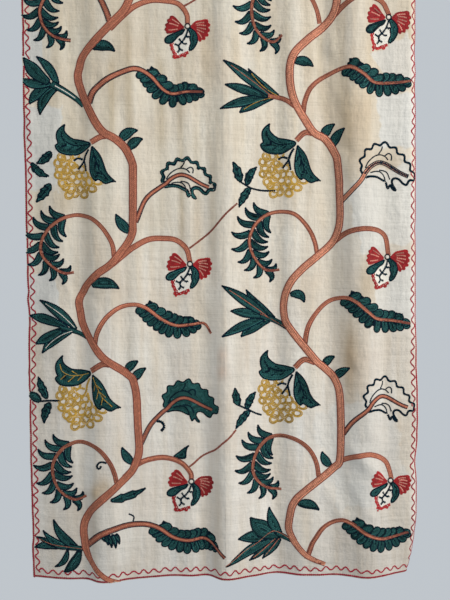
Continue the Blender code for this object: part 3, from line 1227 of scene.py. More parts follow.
def right_vine() -> Vine:
    """The vine on the right loom width, as charted."""
    stem = [
        (338, -4), (334, 13), (324, 26), (308, 39), (295, 52), (290, 65), (290, 83), (294, 100), (304, 118),
        (314, 132), (325, 138), (334, 151), (338, 165), (340, 214), (337, 232), (330, 244), (315, 257),
        (301, 269), (290, 282), (284, 298), (284, 315), (290, 328), (314, 358), (325, 368), (335, 379),
        (340, 400), (340, 456), (333, 469), (305, 492), (295, 503), (291, 515), (290, 532),
    ]
    root = [(290, 532), (297, 546), (308, 558), (325, 566)]
    first = [
        Stem([(320, 30), (331, 19), (343, 7), (358, -3), (372, -3), (384, 2), (391, 15)], (6.2, 4.6)),
        Flower(Place((390.5, 16.5), -2.0, 1.0, 1.07)),
        Frond([
            (320, 23), (317, 10), (311, -2), (298, -16), (284, -21), (270, -19), (258, -10), (252, 3),
            (252, 19), (258, 33), (272, 42), (282, 35),
        ]),
        FeatherLeaf([
            (303, 112), (305, 100), (311, 87), (325, 76), (348, 67), (363, 73), (377, 82), (397, 82),
            (413, 80),
        ], 0.51, 0.94),
        SpikyLeaf([(296, 107), (284, 99), (268, 95)], [
            Blade((273, 97), (221, 60), 5.2, bow=-1.0, fullest=0.5, vein=Thread.TERRACOTTA),
            Blade((279, 96), (247, 67), 4.6, bow=3.5, vein=Thread.GOLD),
            Blade((268, 97), (223, 85), 4.8, bow=-1.0, fullest=0.55),
            Blade((270, 97), (218, 110), 4.8, bow=-2.0, fullest=0.5),
            Blade((274, 97), (238, 114), 5.4, bow=-3.0, fullest=0.55, vein=Thread.GOLD),
        ], width=(5.4, 4.4), edge=Thread.BRICK, inside=Thread.TERRACOTTA),
        Stem([(317, 134), (305, 132), (296, 140)], (6.0, 5.4)),
        Berries(Place((296, 142))),
        Line([(275, 190), (262, 190), (252, 188), (246, 185), (239, 181)], Thread.NAVY),
        leaf((240, 182), (232, 161), 4.8, -1.0, 3), leaf((247, 185), (258, 166), 4.4, 3.0, 4),
        leaf((250, 187), (238, 208), 4.4, -1.0, 4),
        OpenLeaf([(342, 200), (352, 190), (361, 180)], Place((363, 176), 2.0, 1.04, 1.14), 1.3,
                 edge=Thread.TAN, rib=Thread.NAVY),
        leaf((294, 62), (314, 67), 4.4, 3.5),
        leaf((323, 139), (336, 123), 4.2, 3.0), leaf((332, 147), (346, 127), 4.2, 2.5),
    ]
    second = [
        Stem([
            (317, 257), (328, 247), (339, 237), (352, 230), (371, 228), (386, 234), (390, 254.5),
        ], (6.0, 4.4)),
        Flower(Place((389, 256), 3.0)),
        Frond([
            (317, 254), (314, 240), (307, 226), (295, 214), (281, 211), (267, 214), (255, 224), (249, 239),
            (252, 253), (261, 266), (269, 270), (279, 269),
        ]),
        FeatherLeaf([
            (304, 347), (308, 326), (318, 310), (330, 300), (345, 297), (356, 301), (368, 311), (378, 318),
            (395, 320), (412, 323),
        ], 0.52, 0.94),
        SpikyLeaf([(287, 327), (275, 320), (261, 315)], [
            Blade((270, 318), (220, 284), 5.4, bow=-1.0, fullest=0.5, vein=Thread.TERRACOTTA),
            Blade((275, 318), (245, 287), 4.8, bow=3.5),
            Blade((266, 317), (229, 310), 4.8, bow=-1.0, fullest=0.55),
            Blade((268, 317), (220, 337), 4.8, bow=-2.0, fullest=0.5),
            Blade((272, 319), (240, 337), 5.4, bow=-3.0, fullest=0.55),
        ], midrib=[(284, 326), (272, 319), (260, 313)]),
        Stem([(315, 362), (304, 359), (295, 367)], (6.0, 5.4)),
        Berries(Place((295, 368), 2.0)),
        Line([(262, 415), (256, 413), (248, 409), (238, 404)], Thread.NAVY),
        leaf((239, 405), (235, 386), 4.4, 1.0, 3), leaf((247, 409), (257, 391), 4.2, 2.0, 4),
        leaf((250, 410), (235, 429), 4.2, -1.0, 4),
        OpenLeaf([(341, 437), (352, 422), (364, 412)], Place((367, 410), 5.0, 0.92, 1.22), 1.1),
        leaf((290, 294), (304, 303), 4.0, 5.0),
        leaf((324, 367), (336, 356), 3.6, 2.5), leaf((333, 379), (351, 367), 3.8, 1.5),
    ]
    third = [
        Stem([
            (319, 481), (330, 471), (341, 461), (355, 456), (372, 454), (388, 462), (392, 479.5),
        ], (6.0, 4.4)),
        Flower(Place((391, 481), -2.0, 0.92)),
        Frond([
            (319, 478), (316, 462), (308, 448), (295, 439), (280, 436), (267, 440), (257, 452), (253, 468),
            (257, 480), (268, 489), (282, 491),
        ]),
        FeatherLeaf([
            (307, 561), (311, 550), (315, 541), (325, 528), (340, 521), (352, 524), (368, 534), (385, 539),
            (409, 534),
        ], 0.52, 0.95),
        SpikyLeaf([(294, 543), (286, 540), (278, 537)], [
            Blade((283, 539), (270, 508), 5.2, bow=3.5),
            Blade((282, 539), (250, 517), 8.6, bow=4.0, fullest=0.5, base_share=0.5),
            Blade((276, 538), (237, 538), 6.4, bow=-0.5, fullest=0.5, base_share=0.6),
            Blade((283, 537), (224, 566), 5.4, bow=-2.0, base_share=0.6),
            Blade((278, 541), (248, 562), 4.4, bow=1.0, base_share=0.5, vein=Thread.TERRACOTTA),
            Blade((281, 541), (262, 562), 4.4, bow=1.0, base_share=0.5, vein=Thread.TERRACOTTA),
        ], width=(4.4, 6.0), midrib=[(293, 542), (280, 536), (272, 535), (258, 544), (243, 552), (226, 564)]),
        leaf((298, 505), (320, 512), 4.2, 3.5),
        leaf((331, 467), (322, 451), 3.8, 2.0),
    ]
    return Vine(Thread.TAN, stem, root, [first, second, third])


def filled(across: Array, up: Array, outline: Array) -> Array:
    """Which cells of a grid lie inside a closed outline.

    Args:
        across: The grid's distances across.
        up: The grid's distances up.
        outline: The outline's points, one a row.

    Returns:
        True for each cell inside, one row for each distance up.
    """
    after = np.roll(outline, -1, axis=0)
    inside = np.zeros((len(up), len(across)), bool)
    for number, height in enumerate(up):
        cut = (outline[:, 1] > height) != (after[:, 1] > height)
        start, run = outline[cut], after[cut] - outline[cut]
        crossings = np.sort(start[:, 0] + (height - start[:, 1]) * run[:, 0] / run[:, 1])
        inside[number] = np.searchsorted(crossings, across) % 2 == 1
    return inside


class Needlework:
    """Works rows onto the cloth and keeps a map of what is already covered."""

    CELL = 0.0005
    MARGIN = 20
    KEEP_CLEAR = 0.003
    EDGE_CLEAR = 0.0012
    PAD_FLOOR = 0.004
    PAD_LEAST = 4
    PAD_ROWS = 3
    PAD_RUN = 16
    PAD_OVERLAP = 0.6
    PAD_SHADE = -0.25
    TUCK = 3
    LEAST_STITCH = 0.6
    SHORTEST = 1e-5
    ROW_DRIFT = 0.85
    STITCH_DRIFT = 0.5
    COVER = 0.36
    COVER_STEP = 1.5

    def __init__(self, cloth: HungCloth, chart: Chart) -> None:
        """Starts with bare cloth.

        Args:
            cloth: The hung shape; kept, but not used.
            chart: The pattern's chart.
        """
        self.cloth = cloth
        self.chart = chart
        self.columns = int(2 * LOOM_WIDTH / self.CELL) + 2 * self.MARGIN
        self.rows = int(DROP / self.CELL) + 2 * self.MARGIN
        self.taken = np.zeros((self.rows, self.columns), bool)
        self.padded = np.zeros((self.rows, self.columns), bool)
        self.random = np.random.default_rng(SEED)
        self.stitches: dict[tuple[Thread, Kind], list[Array]] = {}

    def _cells(self, places: Array) -> tuple[Array, Array]:
        """Map cells of places on the cloth."""
        column = ((places[:, 0] + LOOM_WIDTH) / self.CELL + self.MARGIN).astype(int)
        row = (places[:, 1] / self.CELL + self.MARGIN).astype(int)
        return np.clip(row, 0, self.rows - 1), np.clip(column, 0, self.columns - 1)

    def work(self, row: Row) -> None:
        """Works one charted row, leaving out stitches where the cloth is taken or ends."""
        path = self.chart.place(row.path)
        (self.pad if row.kind is Kind.UNDER else self.work_flat)(row, path)

    @staticmethod
    def _shrunk(cells: Array, by: int) -> Array:
        """An area of cells without its outermost ones."""
        for _ in range(by):
            inner = cells.copy()
            inner[1:] &= cells[:-1]
            inner[:-1] &= cells[1:]
            inner[:, 1:] &= cells[:, :-1]
            inner[:, :-1] &= cells[:, 1:]
            cells = inner
        return cells

    def pad(self, row: Row, outline: Array) -> None:
        """Lays flat padding threads side by side inside a shape, and takes its cloth. Except under cream, the
        padding is laid darker than its wool, as painted shade in the gaps between the raised stitches.

        Args:
            row: The thread to use.
            outline: The outline in cloth distances.
        """
        low, high = outline.min(axis=0), outline.max(axis=0)
        across = np.arange(low[0], high[0] + self.CELL, self.CELL)
        top = min(high[1], DROP - self.KEEP_CLEAR)
        up = np.arange(max(low[1], self.PAD_FLOOR), top + self.CELL, self.CELL)
        if min(len(across), len(up)) < self.PAD_LEAST:
            return
        places = np.column_stack([part.ravel() for part in np.meshgrid(across, up)])
        inside = filled(across, up, outline).ravel() & (np.abs(places[:, 0]) < LOOM_WIDTH - self.KEEP_CLEAR)
        cells = self._cells(places)
        shape = (len(up), len(across))
        inner = self._shrunk(inside.reshape(shape), 1)
        inner &= ~self._shrunk(self.padded[cells].reshape(shape), self.TUCK)
        self.padded[cells] |= inside
        self.taken[cells] |= inside
        made = []
        wide = (self.PAD_ROWS + self.PAD_OVERLAP) * self.CELL
        # Painted shade: the padding shows only between stitches and is laid darker there, except under cream.
        shade = 0.0 if row.thread is Thread.CREAM else self.PAD_SHADE
        for start in range(0, len(up) - self.PAD_ROWS, self.PAD_ROWS):
            held = np.flatnonzero(inner[start : start + self.PAD_ROWS + 1].all(axis=0))
            for run in np.split(held, np.flatnonzero(np.diff(held) > 1) + 1):
                for part in np.array_split(run, max(1, math.ceil(len(run) / self.PAD_RUN))):
                    if len(part) < 2:
                        continue
                    middle = (across[part[0]] + across[part[-1]]) / 2
                    height = up[start] + self.PAD_ROWS / 2 * self.CELL
                    made.append((middle, height, 1.0, 0.0, (len(part) + 0.5) * self.CELL, wide, shade))
        if made:
            self.stitches.setdefault((row.thread, Kind.UNDER), []).append(np.array(made))

    def work_flat(self, row: Row, path: Array) -> None:
        """Works a row along a path given in cloth distances.

        Args:
            row: Thread, size and kind of the stitches.
            path: Distances across and up, one place a row.
        """
        if np.linalg.norm(np.diff(path, axis=0), axis=1).sum() < self.LEAST_STITCH * row.length:
            return
        ends = even_path(path, row.length)
        middle = (ends[1:] + ends[:-1]) / 2
        way = ends[1:] - ends[:-1]
        long = np.linalg.norm(way, axis=1)
        inside = np.abs(middle[:, 0]) < LOOM_WIDTH - self.EDGE_CLEAR
        inside &= (middle[:, 1] > self.EDGE_CLEAR) & (middle[:, 1] < DROP - self.KEEP_CLEAR)
        j, i = self._cells(middle)
        free = inside & (row.crossing | ~self.taken[j, i]) & (long > self.SHORTEST)
        if not free.any():
            return
        count = int(free.sum())
        drift = self.ROW_DRIFT * self.random.normal() * row.thread.spread
        shade = drift + self.random.normal(0.0, self.STITCH_DRIFT, count) * row.thread.spread
        sizes = np.column_stack([long[free], np.full(count, row.width)])
        made = np.column_stack([middle[free], way[free] / long[free][:, None], sizes, shade])
        self.stitches.setdefault((row.thread, row.kind), []).append(made)
        self._cover(path, self.COVER * row.width)

    def _cover(self, path: Array, reach: float) -> None:
        """Marks the cloth within reach of a path as taken."""
        span = int(math.ceil(reach / self.CELL))
        fine = even_path(path, self.CELL * self.COVER_STEP)
        fine = fine[(np.abs(fine[:, 0]) < LOOM_WIDTH) & (fine[:, 1] > 0) & (fine[:, 1] < DROP)]
        j, i = self._cells(fine)
        for dj in range(-span, span + 1):
            for di in range(-span, span + 1):
                if math.hypot(dj, di) * self.CELL <= reach:
                    self.taken[np.clip(j + dj, 0, self.rows - 1), np.clip(i + di, 0, self.columns - 1)] = True


@dataclass
class Border:
    """The red border: a line at the very edge and a zigzag inside it, down both sides and along the hem."""

    needle: Needlework
    rng: np.random.Generator = field(default_factory=lambda: np.random.default_rng(BORDER_SEED))

    EDGE = 0.0032
    EDGE_SWAY = 0.2
    EDGE_STITCH = (0.0050, 0.0046)
    ZIGZAG_MIDDLE = 0.0125
    ZIGZAG_HALF = 0.0052
    ZIGZAG_PITCH = 0.0246
    ZIGZAG_STITCH = (0.0042, 0.0044)
    ZIGZAG_CLEAR = 0.010
    HEM_MIDDLE = 0.0165
    WANDER = 0.0012
    SIDE_WANDERS = 40
    HEM_WANDERS = 24
    STEP = 0.002
    JITTER = 0.10
    HEIGHTS = (0.75, 1.15)
    PAST_END = 0.05

    def work(self) -> None:
        """Works the whole border."""
        up = np.arange(0.0, DROP, self.STEP)
        for side in (-1.0, 1.0):
            sway = self._sway(up, 0, DROP, self.SIDE_WANDERS)
            edge = LOOM_WIDTH - self.EDGE + self.EDGE_SWAY * sway
            self._row(np.column_stack([side * edge, up]), self.EDGE_STITCH)
            zigzag = LOOM_WIDTH - self.ZIGZAG_MIDDLE + self.ZIGZAG_HALF * self._wave(up) + sway
            line = np.column_stack([side * zigzag, up])
            self._row(line[line[:, 1] > self.ZIGZAG_CLEAR], self.ZIGZAG_STITCH)
        across = np.arange(-LOOM_WIDTH, LOOM_WIDTH + self.STEP / 2, self.STEP)
        self._row(np.column_stack([across, np.full_like(across, self.EDGE)]), self.EDGE_STITCH)
        sway = self._sway(across, -LOOM_WIDTH, LOOM_WIDTH, self.HEM_WANDERS)
        line = np.column_stack([across, self.HEM_MIDDLE + self.ZIGZAG_HALF * self._wave(across) + sway])
        self._row(line[np.abs(line[:, 0]) < LOOM_WIDTH - self.ZIGZAG_CLEAR], self.ZIGZAG_STITCH)

    def _row(self, path: Array, stitch: tuple[float, float]) -> None:
        """Works one line of the border, with stitches so wide and so long."""
        self.needle.work_flat(Row(Thread.CRIMSON, path, Layer.BORDER, *stitch), path)

    def _sway(self, run: Array, low: float, high: float, count: int) -> Array:
        """How far a line wanders, with so many turns between two places."""
        return self.WANDER * np.interp(run, np.linspace(low, high, count), self.rng.uniform(-1, 1, count))

    def _wave(self, run: Array) -> Array:
        """A zigzag with round turns and uneven steps."""
        past = self.PAST_END
        knots = np.arange(run[0] - past, run[-1] + past + self.ZIGZAG_CLEAR, self.ZIGZAG_PITCH / 2)
        jitter = self.rng.uniform(-self.JITTER, self.JITTER, len(knots)) * self.ZIGZAG_PITCH
        numbers = np.arange(len(knots))
        heights = np.where(numbers % 2 == 0, 1.0, -1.0) * self.rng.uniform(*self.HEIGHTS, len(knots))
        share = np.interp(run, knots + jitter, numbers)
        low = share.astype(int)
        turn = 0.5 - 0.5 * np.cos(np.pi * (share - low))
        return heights[low] * (1 - turn) + heights[np.minimum(low + 1, len(knots) - 1)] * turn


class Nodes:
    """Adds nodes to one tree and joins them. An input is given a number, a colour or another socket."""

    def __init__(self, tree: bpy.types.NodeTree) -> None:
        """Works on one tree."""
        self.tree = tree

    def give(self, node: bpy.types.Node, inputs: dict[str | int, object]) -> None:
        """Sets or joins a node's inputs, by name or number."""
        for name, value in inputs.items():
            if isinstance(value, Socket):
                self.tree.links.new(value, node.inputs[name])
            elif value is not None:
                node.inputs[name].default_value = value

    def add(self, kind: str, inputs: dict | None = None, **values: object) -> bpy.types.Node:
        """Adds a node.

        Args:
            kind: Its type.
            inputs: What its inputs are given.
            **values: Properties to set.

        Returns:
            The node.
        """
        node = self.tree.nodes.new(kind)
        for name, value in values.items():
            setattr(node, name, value)
        self.give(node, inputs or {})
        return node

    def maths(self, what: str, a: object, b: object = None) -> Socket:
        """The result of a maths node on one or two values."""
        return self.add("ShaderNodeMath", {0: a, 1: b}, operation=what).outputs[0]

    def times(self, a: object, b: object) -> Socket:
        """One value times another."""
        return self.maths("MULTIPLY", a, b)

    def total(self, first: object, *more: object) -> Socket:
        """The sum of values, added in order."""
        for value in more:
            first = self.maths("ADD", first, value)
        return first

    def swing(self, noise: Socket, size: float) -> Socket:
        """A noise made to swing both ways about its middle, and so large."""
        return self.times(self.maths("SUBTRACT", noise, 0.5), size)

    def mix(self, factor: object, a: object, b: object, blend_type: str = "MIX") -> Socket:
        """The mix of two colours or colour sockets."""
        first, second = ((*value, 1.0) if isinstance(value, tuple) else value for value in (a, b))
        inputs = {0: factor, 6: first, 7: second}
        return self.add("ShaderNodeMix", inputs, data_type="RGBA", blend_type=blend_type).outputs[2]

    def grey(self, value: Socket) -> Socket:
        """A grey as light as the value."""
        return self.add("ShaderNodeCombineColor", {0: value, 1: value, 2: value}).outputs[0]

    def uv(self) -> Socket:
        """The piece's own UV map."""
        return self.add("ShaderNodeUVMap", uv_map="UVMap").outputs[0]

    def split(self, place: Socket) -> tuple[Socket, Socket]:
        """A place's first two numbers."""
        return tuple(self.add("ShaderNodeSeparateXYZ", {0: place}).outputs[:2])

    def noise(self, place: Socket, scale: float, detail: float) -> Socket:
        """Noise at a place."""
        inputs = {"Vector": place, "Scale": scale, "Detail": detail}
        return self.add("ShaderNodeTexNoise", inputs).outputs["Fac"]

    def bump(self, height: object, strength: float, distance: float, over: object = None) -> Socket:
        """A bumped surface direction, laid over another one if it is given."""
        inputs = {"Height": height, "Strength": strength, "Distance": distance, "Normal": over}
        return self.add("ShaderNodeBump", inputs).outputs[0]


def fresh_material(name: str) -> tuple[bpy.types.Material, Nodes, bpy.types.Node]:
    """A new material, a node helper for it and its shader node."""
    material = bpy.data.materials.new(name)
    material.use_nodes = True
    shader = material.node_tree.nodes["Principled BSDF"]
    shader.inputs["Metallic"].default_value = 0.0
    return material, Nodes(material.node_tree), shader


@dataclass(frozen=True)
class WoolFinish:
    """Two-ply crewel wool, matt with a soft halo."""

    thread: Thread
    roughness: float = 0.86
    halo_roughness: float = 0.6
    gloss: float = 0.10
    sheen: float = 0.14
    dark_light: float = 0.03
    ply_slant: Span = (26.0, 17.0)
    ply_shade: float = 0.07
    fuzz_scale: float = 900.0
    fuzz_shade: float = 0.35
    fading_scale: float = 9.0
    fading_shade: float = 0.35
    bump_strength: float = 0.5
    bump_height: float = 0.0003

    def build(self) -> bpy.types.Material:
        """Builds the material.

        Returns:
            The material, shaded by each stitch's own shade and by the strands along it.
        """
        material, nodes, shader = fresh_material("wool_" + self.thread.label)
        shade = nodes.add("ShaderNodeAttribute", attribute_name="shade").outputs["Fac"]
        slant = [nodes.times(way, size) for way, size in zip(nodes.split(nodes.uv()), self.ply_slant)]
        ply = nodes.maths("SINE", nodes.total(*slant))
        place = nodes.add("ShaderNodeTexCoord").outputs["Object"]
        fuzz = nodes.noise(place, self.fuzz_scale, 2.0)
        fading = nodes.swing(nodes.noise(place, self.fading_scale, 1.0), self.fading_shade)
        tone = nodes.total(
            1.0, shade, nodes.times(ply, self.ply_shade), nodes.swing(fuzz, self.fuzz_shade), fading
        )
        nodes.give(shader, {
            "Base Color": nodes.mix(1.0, self.thread.colour, nodes.grey(tone), "MULTIPLY"),
            "Normal": nodes.bump(nodes.total(ply, fuzz), self.bump_strength, self.bump_height),
            "Roughness": self.roughness,
            "Specular IOR Level": self.dark_light if self.thread.dark else self.gloss,
            "Sheen Weight": self.dark_light if self.thread.dark else self.sheen,
            "Sheen Roughness": self.halo_roughness,
        })
        return material


@dataclass(frozen=True)
class Mend:
    """A whiter patch let into the ground: centre, half size, turn in degrees and how much whiter it is."""

    across: float
    up: float
    half_across: float
    half_up: float
    turn: float
    strength: float


MENDS = tuple(Mend(*row) for row in (
    (-0.445, 1.235, 0.026, 0.045, 6.0, 0.75), (-0.425, 1.010, 0.042, 0.100, -4.0, 0.75),
    (-0.436, 0.665, 0.040, 0.056, 10.0, 0.75), (0.430, 1.205, 0.050, 0.055, 34.0, 0.60),
    (0.425, 1.070, 0.056, 0.065, 4.0, 0.75), (0.390, 0.865, 0.080, 0.090, 14.0, 0.60),
    (0.415, 0.665, 0.050, 0.060, 0.0, 0.55), (0.330, 0.300, 0.090, 0.120, 18.0, 0.40),
))


@dataclass(frozen=True)
class GroundFinish:
    """Linen warp and cotton weft twill, cream, with slubs, age stains, whiter mends and the painted light and
    shade carried in its tone.

    Its noises are scaled across and up the cloth, so that each one is drawn out along the yarns.
    """

    name: str = "ground_twill"
    cream: Colour = (0.576, 0.499, 0.413)
    washed: Colour = (0.655, 0.635, 0.585)
    let_in: Colour = (0.550, 0.541, 0.506)
    slub: Colour = (0.50, 0.43, 0.33)
    warmth: Colour = (0.92, 0.86, 0.78)
    roughness: float = 0.93
    gloss: float = 0.15
    sheen: float = 0.08
    twill_pitch: float = 0.0014
    twill_slope: float = 0.55

    WARP = (950.0, 9.0)
    WEFT = (11.0, 950.0)
    COARSE = (160.0, 3.0)
    SLUBS = (8.0, 330.0)
    CLOUD = (7.0, 7.0)
    BANDS = (42.0, 2.6)
    PUCKERS = (((38.0, 9.0), 0.6), ((9.0, 42.0), 0.8), ((85.0, 60.0), 0.38))
    YARN_FLECK = 1.1
    COARSE_FLECK = 0.25
    SLUB_FLECK = 0.5
    SLUB_TINT = 0.9
    BAND_START = 0.40
    BAND_RISE = 2.2
    GRAIN = 0.32
    TWILL_RELIEF = 0.25
    SLUB_RELIEF = 0.5
    WEAVE_BUMP = (0.55, 0.0005)
    PUCKER_BUMP = (0.9, 0.0060)
    RAGGED = (20.0, 20.0)
    RAGGED_REACH = 0.8
    MEND_OUTSIDE = 1.42
    MEND_INSIDE = 1.34
    DETAIL = 3.0

    def build(self) -> bpy.types.Material:
        """Builds the material on the cloth's own distances, kept in its UV map.

        Returns:
            The material.
        """
        material, nodes, shader = fresh_material(self.name)
        uv = nodes.uv()
        slubs = self._streaks(nodes, uv, self.SLUBS)
        yarns = (self._streaks(nodes, uv, way) for way in (self.WARP, self.WEFT))
        yarn = nodes.total(*(nodes.times(one, 0.5) for one in yarns))
        coarse = nodes.swing(self._streaks(nodes, uv, self.COARSE), self.COARSE_FLECK)
        fleck = nodes.total(nodes.swing(yarn, self.YARN_FLECK), coarse, nodes.swing(slubs, self.SLUB_FLECK))
        base = nodes.mix(self._streaks(nodes, uv, self.CLOUD), self.cream, self.washed)
        slubbed = nodes.mix(nodes.maths("MAXIMUM", nodes.times(fleck, -self.SLUB_TINT), 0.0), base, self.slub)
        bands = nodes.maths("SUBTRACT", self._streaks(nodes, uv, self.BANDS), self.BAND_START)
        bands = nodes.times(bands, self.BAND_RISE)
        bands = nodes.maths("MINIMUM", nodes.maths("MAXIMUM", bands, 0.0), 1.0)
        slubbed = nodes.mix(bands, slubbed, nodes.mix(1.0, slubbed, self.warmth, "MULTIPLY"))
        grain = nodes.grey(nodes.total(1.0, nodes.times(fleck, self.GRAIN)))
        # The tone attribute carries the ageing together with painted light and shade.
        tone = nodes.add("ShaderNodeAttribute", attribute_name="tone").outputs["Color"]
        aged_and_shaded = nodes.mix(1.0, nodes.mix(1.0, slubbed, grain, "MULTIPLY"), tone, "MULTIPLY")
        aged_and_shaded = nodes.mix(self._mends(nodes, uv), aged_and_shaded, nodes.mix(1.0, self.let_in, grain, "MULTIPLY"))
        twill = nodes.times(self._weave(nodes, uv), self.TWILL_RELIEF)
        weave = nodes.total(yarn, twill, nodes.times(slubs, self.SLUB_RELIEF))
        puckers = (nodes.times(self._streaks(nodes, uv, scale), size) for scale, size in self.PUCKERS)
        puckered = nodes.bump(nodes.total(*puckers), *self.PUCKER_BUMP)
        nodes.give(shader, {
            "Base Color": aged_and_shaded,
            "Normal": nodes.bump(weave, *self.WEAVE_BUMP, puckered),
            "Roughness": self.roughness,
            "Specular IOR Level": self.gloss,
            "Sheen Weight": self.sheen,
        })
        return material

    def _streaks(self, nodes: Nodes, uv: Socket, scale: Span) -> Socket:
        """Noise scaled across and up the cloth."""
        place = nodes.add("ShaderNodeMapping", {"Vector": uv, "Scale": (*scale, 1.0)})
        return nodes.noise(place.outputs[0], 1.0, self.DETAIL)

    def _weave(self, nodes: Nodes, uv: Socket) -> Socket:
        """The slanting ribs of the twill."""
        across, up = nodes.split(uv)
        slant = nodes.total(across, nodes.times(up, self.twill_slope))
        return nodes.maths("SINE", nodes.times(slant, 2 * math.pi / self.twill_pitch))

    def _mends(self, nodes: Nodes, uv: Socket) -> Socket:
        """How much whiter each place is for its mend."""
        ragged = nodes.times(self._streaks(nodes, uv, self.RAGGED), self.RAGGED_REACH)
        whiter: object = 0.0
        for mend in MENDS:
            place = nodes.add("ShaderNodeMapping", {
                "Vector": uv,
                "Location": (mend.across, mend.up, 0.0),
                "Rotation": (0.0, 0.0, math.radians(mend.turn)),
                "Scale": (mend.half_across, mend.half_up, 1.0),
            }, vector_type="TEXTURE")
            ways = (nodes.maths("ABSOLUTE", way) for way in nodes.split(place.outputs[0]))
            reach = nodes.maths("MAXIMUM", *ways)
            level = nodes.add("ShaderNodeMapRange", {
                "Value": nodes.total(reach, ragged),
                "From Min": self.MEND_OUTSIDE,
                "From Max": self.MEND_INSIDE,
                "To Max": mend.strength,
            })
            whiter = nodes.maths("MAXIMUM", whiter, level.outputs[0])
        return whiter


# Painted fold shade: a hue, then soft darker streaks down the ground where folds fall in shade, each as chart
# column, top row, bottom row, half width and strength.
FOLD_SHADE_HUE = (0.90, 1.0, 1.15)
STREAKS = (
    (112, 60, 140, 4, 0.18), (129, 15, 145, 4, 0.24), (147, 0, 60, 3, 0.14), (161, 60, 150, 4, 0.18),
    (178, 0, 145, 3, 0.13), (152, 205, 250, 6, 0.14), (181, 150, 300, 3, 0.17), (196, 130, 330, 3, 0.15),
    (130, 330, 372, 4, 0.18), (172, 350, 380, 4, 0.15), (62, 160, 215, 4, 0.14), (258, 110, 165, 3, 0.12),
    (240, 320, 470, 4, 0.08), (310, 130, 200, 4, 0.12), (320, 20, 110, 4, 0.14), (275, 0, 60, 4, 0.12),
    (350, 330, 420, 5, 0.12),
)
# Hues taken off the ground: the brown and rust ones for stains, the grey one for painted shade.
BROWN = (0.30, 0.45, 0.62)
RUST = (0.18, 0.42, 0.50)
SHADE_GREY = (0.42, 0.44, 0.46)
# Marks on the ground, each as chart column, row, size, strength and hue. The brown and rust ones are stains,
# except the large brown one at the top right, which is painted shade. The grey ones, down the left edge, at
# both lower corners and at the right, are painted shade.
STAINS_AND_SHADE = (
    (105, 485, 8, 0.60, BROWN), (96, 492, 6, 0.50, BROWN), (222, 354, 5, 0.40, RUST),
    (222, 371, 5, 0.45, RUST), (388, 165, 13, 0.30, BROWN), (347, 335, 15, 0.24, BROWN),
    (349, 360, 14, 0.34, BROWN), (353, 388, 15, 0.22, BROWN), (352, 105, 24, 0.32, BROWN),
    (352, 150, 24, 0.30, BROWN), (368, 284, 16, 0.34, BROWN), (302, 290, 16, 0.18, BROWN),
    (120, 70, 30, 0.16, BROWN), (260, 300, 25, 0.12, BROWN), (60, 150, 24, 0.14, BROWN),
    (66, 200, 16, 0.20, BROWN), (45, 290, 14, 0.44, SHADE_GREY), (46, 340, 15, 0.46, SHADE_GREY),
    (48, 400, 15, 0.44, SHADE_GREY), (50, 460, 16, 0.42, SHADE_GREY), (75, 520, 38, 0.32, SHADE_GREY),
    (395, 40, 50, 0.26, BROWN), (380, 520, 60, 0.20, SHADE_GREY), (330, 60, 30, 0.12, BROWN),
    (285, 40, 30, 0.10, BROWN), (100, 285, 20, 0.14, BROWN), (236, 410, 20, 0.12, BROWN),
    (380, 250, 50, 0.12, SHADE_GREY), (60, 20, 22, 0.14, BROWN), (210, 60, 22, 0.12, BROWN),
    (395, 440, 24, 0.16, BROWN),
)


@dataclass(frozen=True)
class Ageing:
    """How the ground has yellowed, blotched, streaked and stained, with painted light and shade laid over it.
    """

    yellowing: Colour = (0.03, 0.065, 0.145)
    blotches: Colour = (0.035, 0.040, 0.040)
    streaking: Colour = (0.045, 0.055, 0.075)
    blotch_cell: Span = (0.05, 0.09)
    streak_cell: Span = (0.018, 0.18)
    seam_fading: float = 0.05
    right_dulling: float = 0.05
    foot_grime: float = 0.11
    foot_reach: float = 0.16
    head_dust: float = 0.05
    stain_height: float = 1.5
    streak_fade: float = 0.05

    def tone(self, across: Array, up: Array) -> Array:
        """Ageing, with painted light and shade, as a colour to multiply the ground by.

        Args:
            across: Distances from the seam.
            up: Distances above the hem.

        Returns:
            One colour for each place, with its alpha.
        """
        chart = Chart()
        warm = smooth((up - 0.25) / 0.9) * (0.75 + 0.25 * smooth((0.35 - across) / 0.6))
        blotch = SoftNoise(BLOTCH_SEED, *self.blotch_cell).at(across, up)
        streak = SoftNoise(STREAK_SEED, *self.streak_cell).at(across, up)
        colour = np.ones((len(across), 4))
        for k, parts in enumerate(zip(self.yellowing, self.blotches, self.streaking)):
            colour[:, k] = 1.0 - parts[0] * warm + parts[1] * blotch + parts[2] * streak
        # Stains, and the painted shade listed with them.
        for right, down, size, strength, hue in STAINS_AND_SHADE:
            a, u = chart.place(np.array([(right, down)], float))[0]
            distance = ((across - a) ** 2 + ((up - u) / self.stain_height) ** 2) / (size * chart.up_step) ** 2
            colour[:, :3] -= (strength * np.exp(-distance))[:, None] * np.array(hue)
        # Painted fold shade: darker streaks down the cloth.
        for right, top, bottom, half, strength in STREAKS:
            a, u = chart.place(np.array([(right, (top + bottom) / 2)], float))[0]
            reach = (bottom - top) / 2 * chart.up_step
            beside = np.exp(-(((across - a) / (half * chart.up_step)) ** 2))
            along = smooth((reach - np.abs(up - u)) / self.streak_fade + 0.5)
            colour[:, :3] -= (strength * beside * along)[:, None] * np.array(FOLD_SHADE_HUE)
        # Painted light beside the seam, and painted shade towards the right edge.
        painted_light_and_shade = self.seam_fading * np.exp(-(((across - 0.02) / 0.13) ** 2))
        painted_light_and_shade = painted_light_and_shade - self.right_dulling * smooth((across - 0.2) / 0.2)
        # Painted shade: darker towards the hem and towards the top.
        foot = self.foot_grime * (1.0 - smooth(up / self.foot_reach))
        head = self.head_dust * smooth((up - 1.12) / 0.22)
        colour[:, :3] *= (1.0 + painted_light_and_shade - foot - head)[:, None]
        return colour


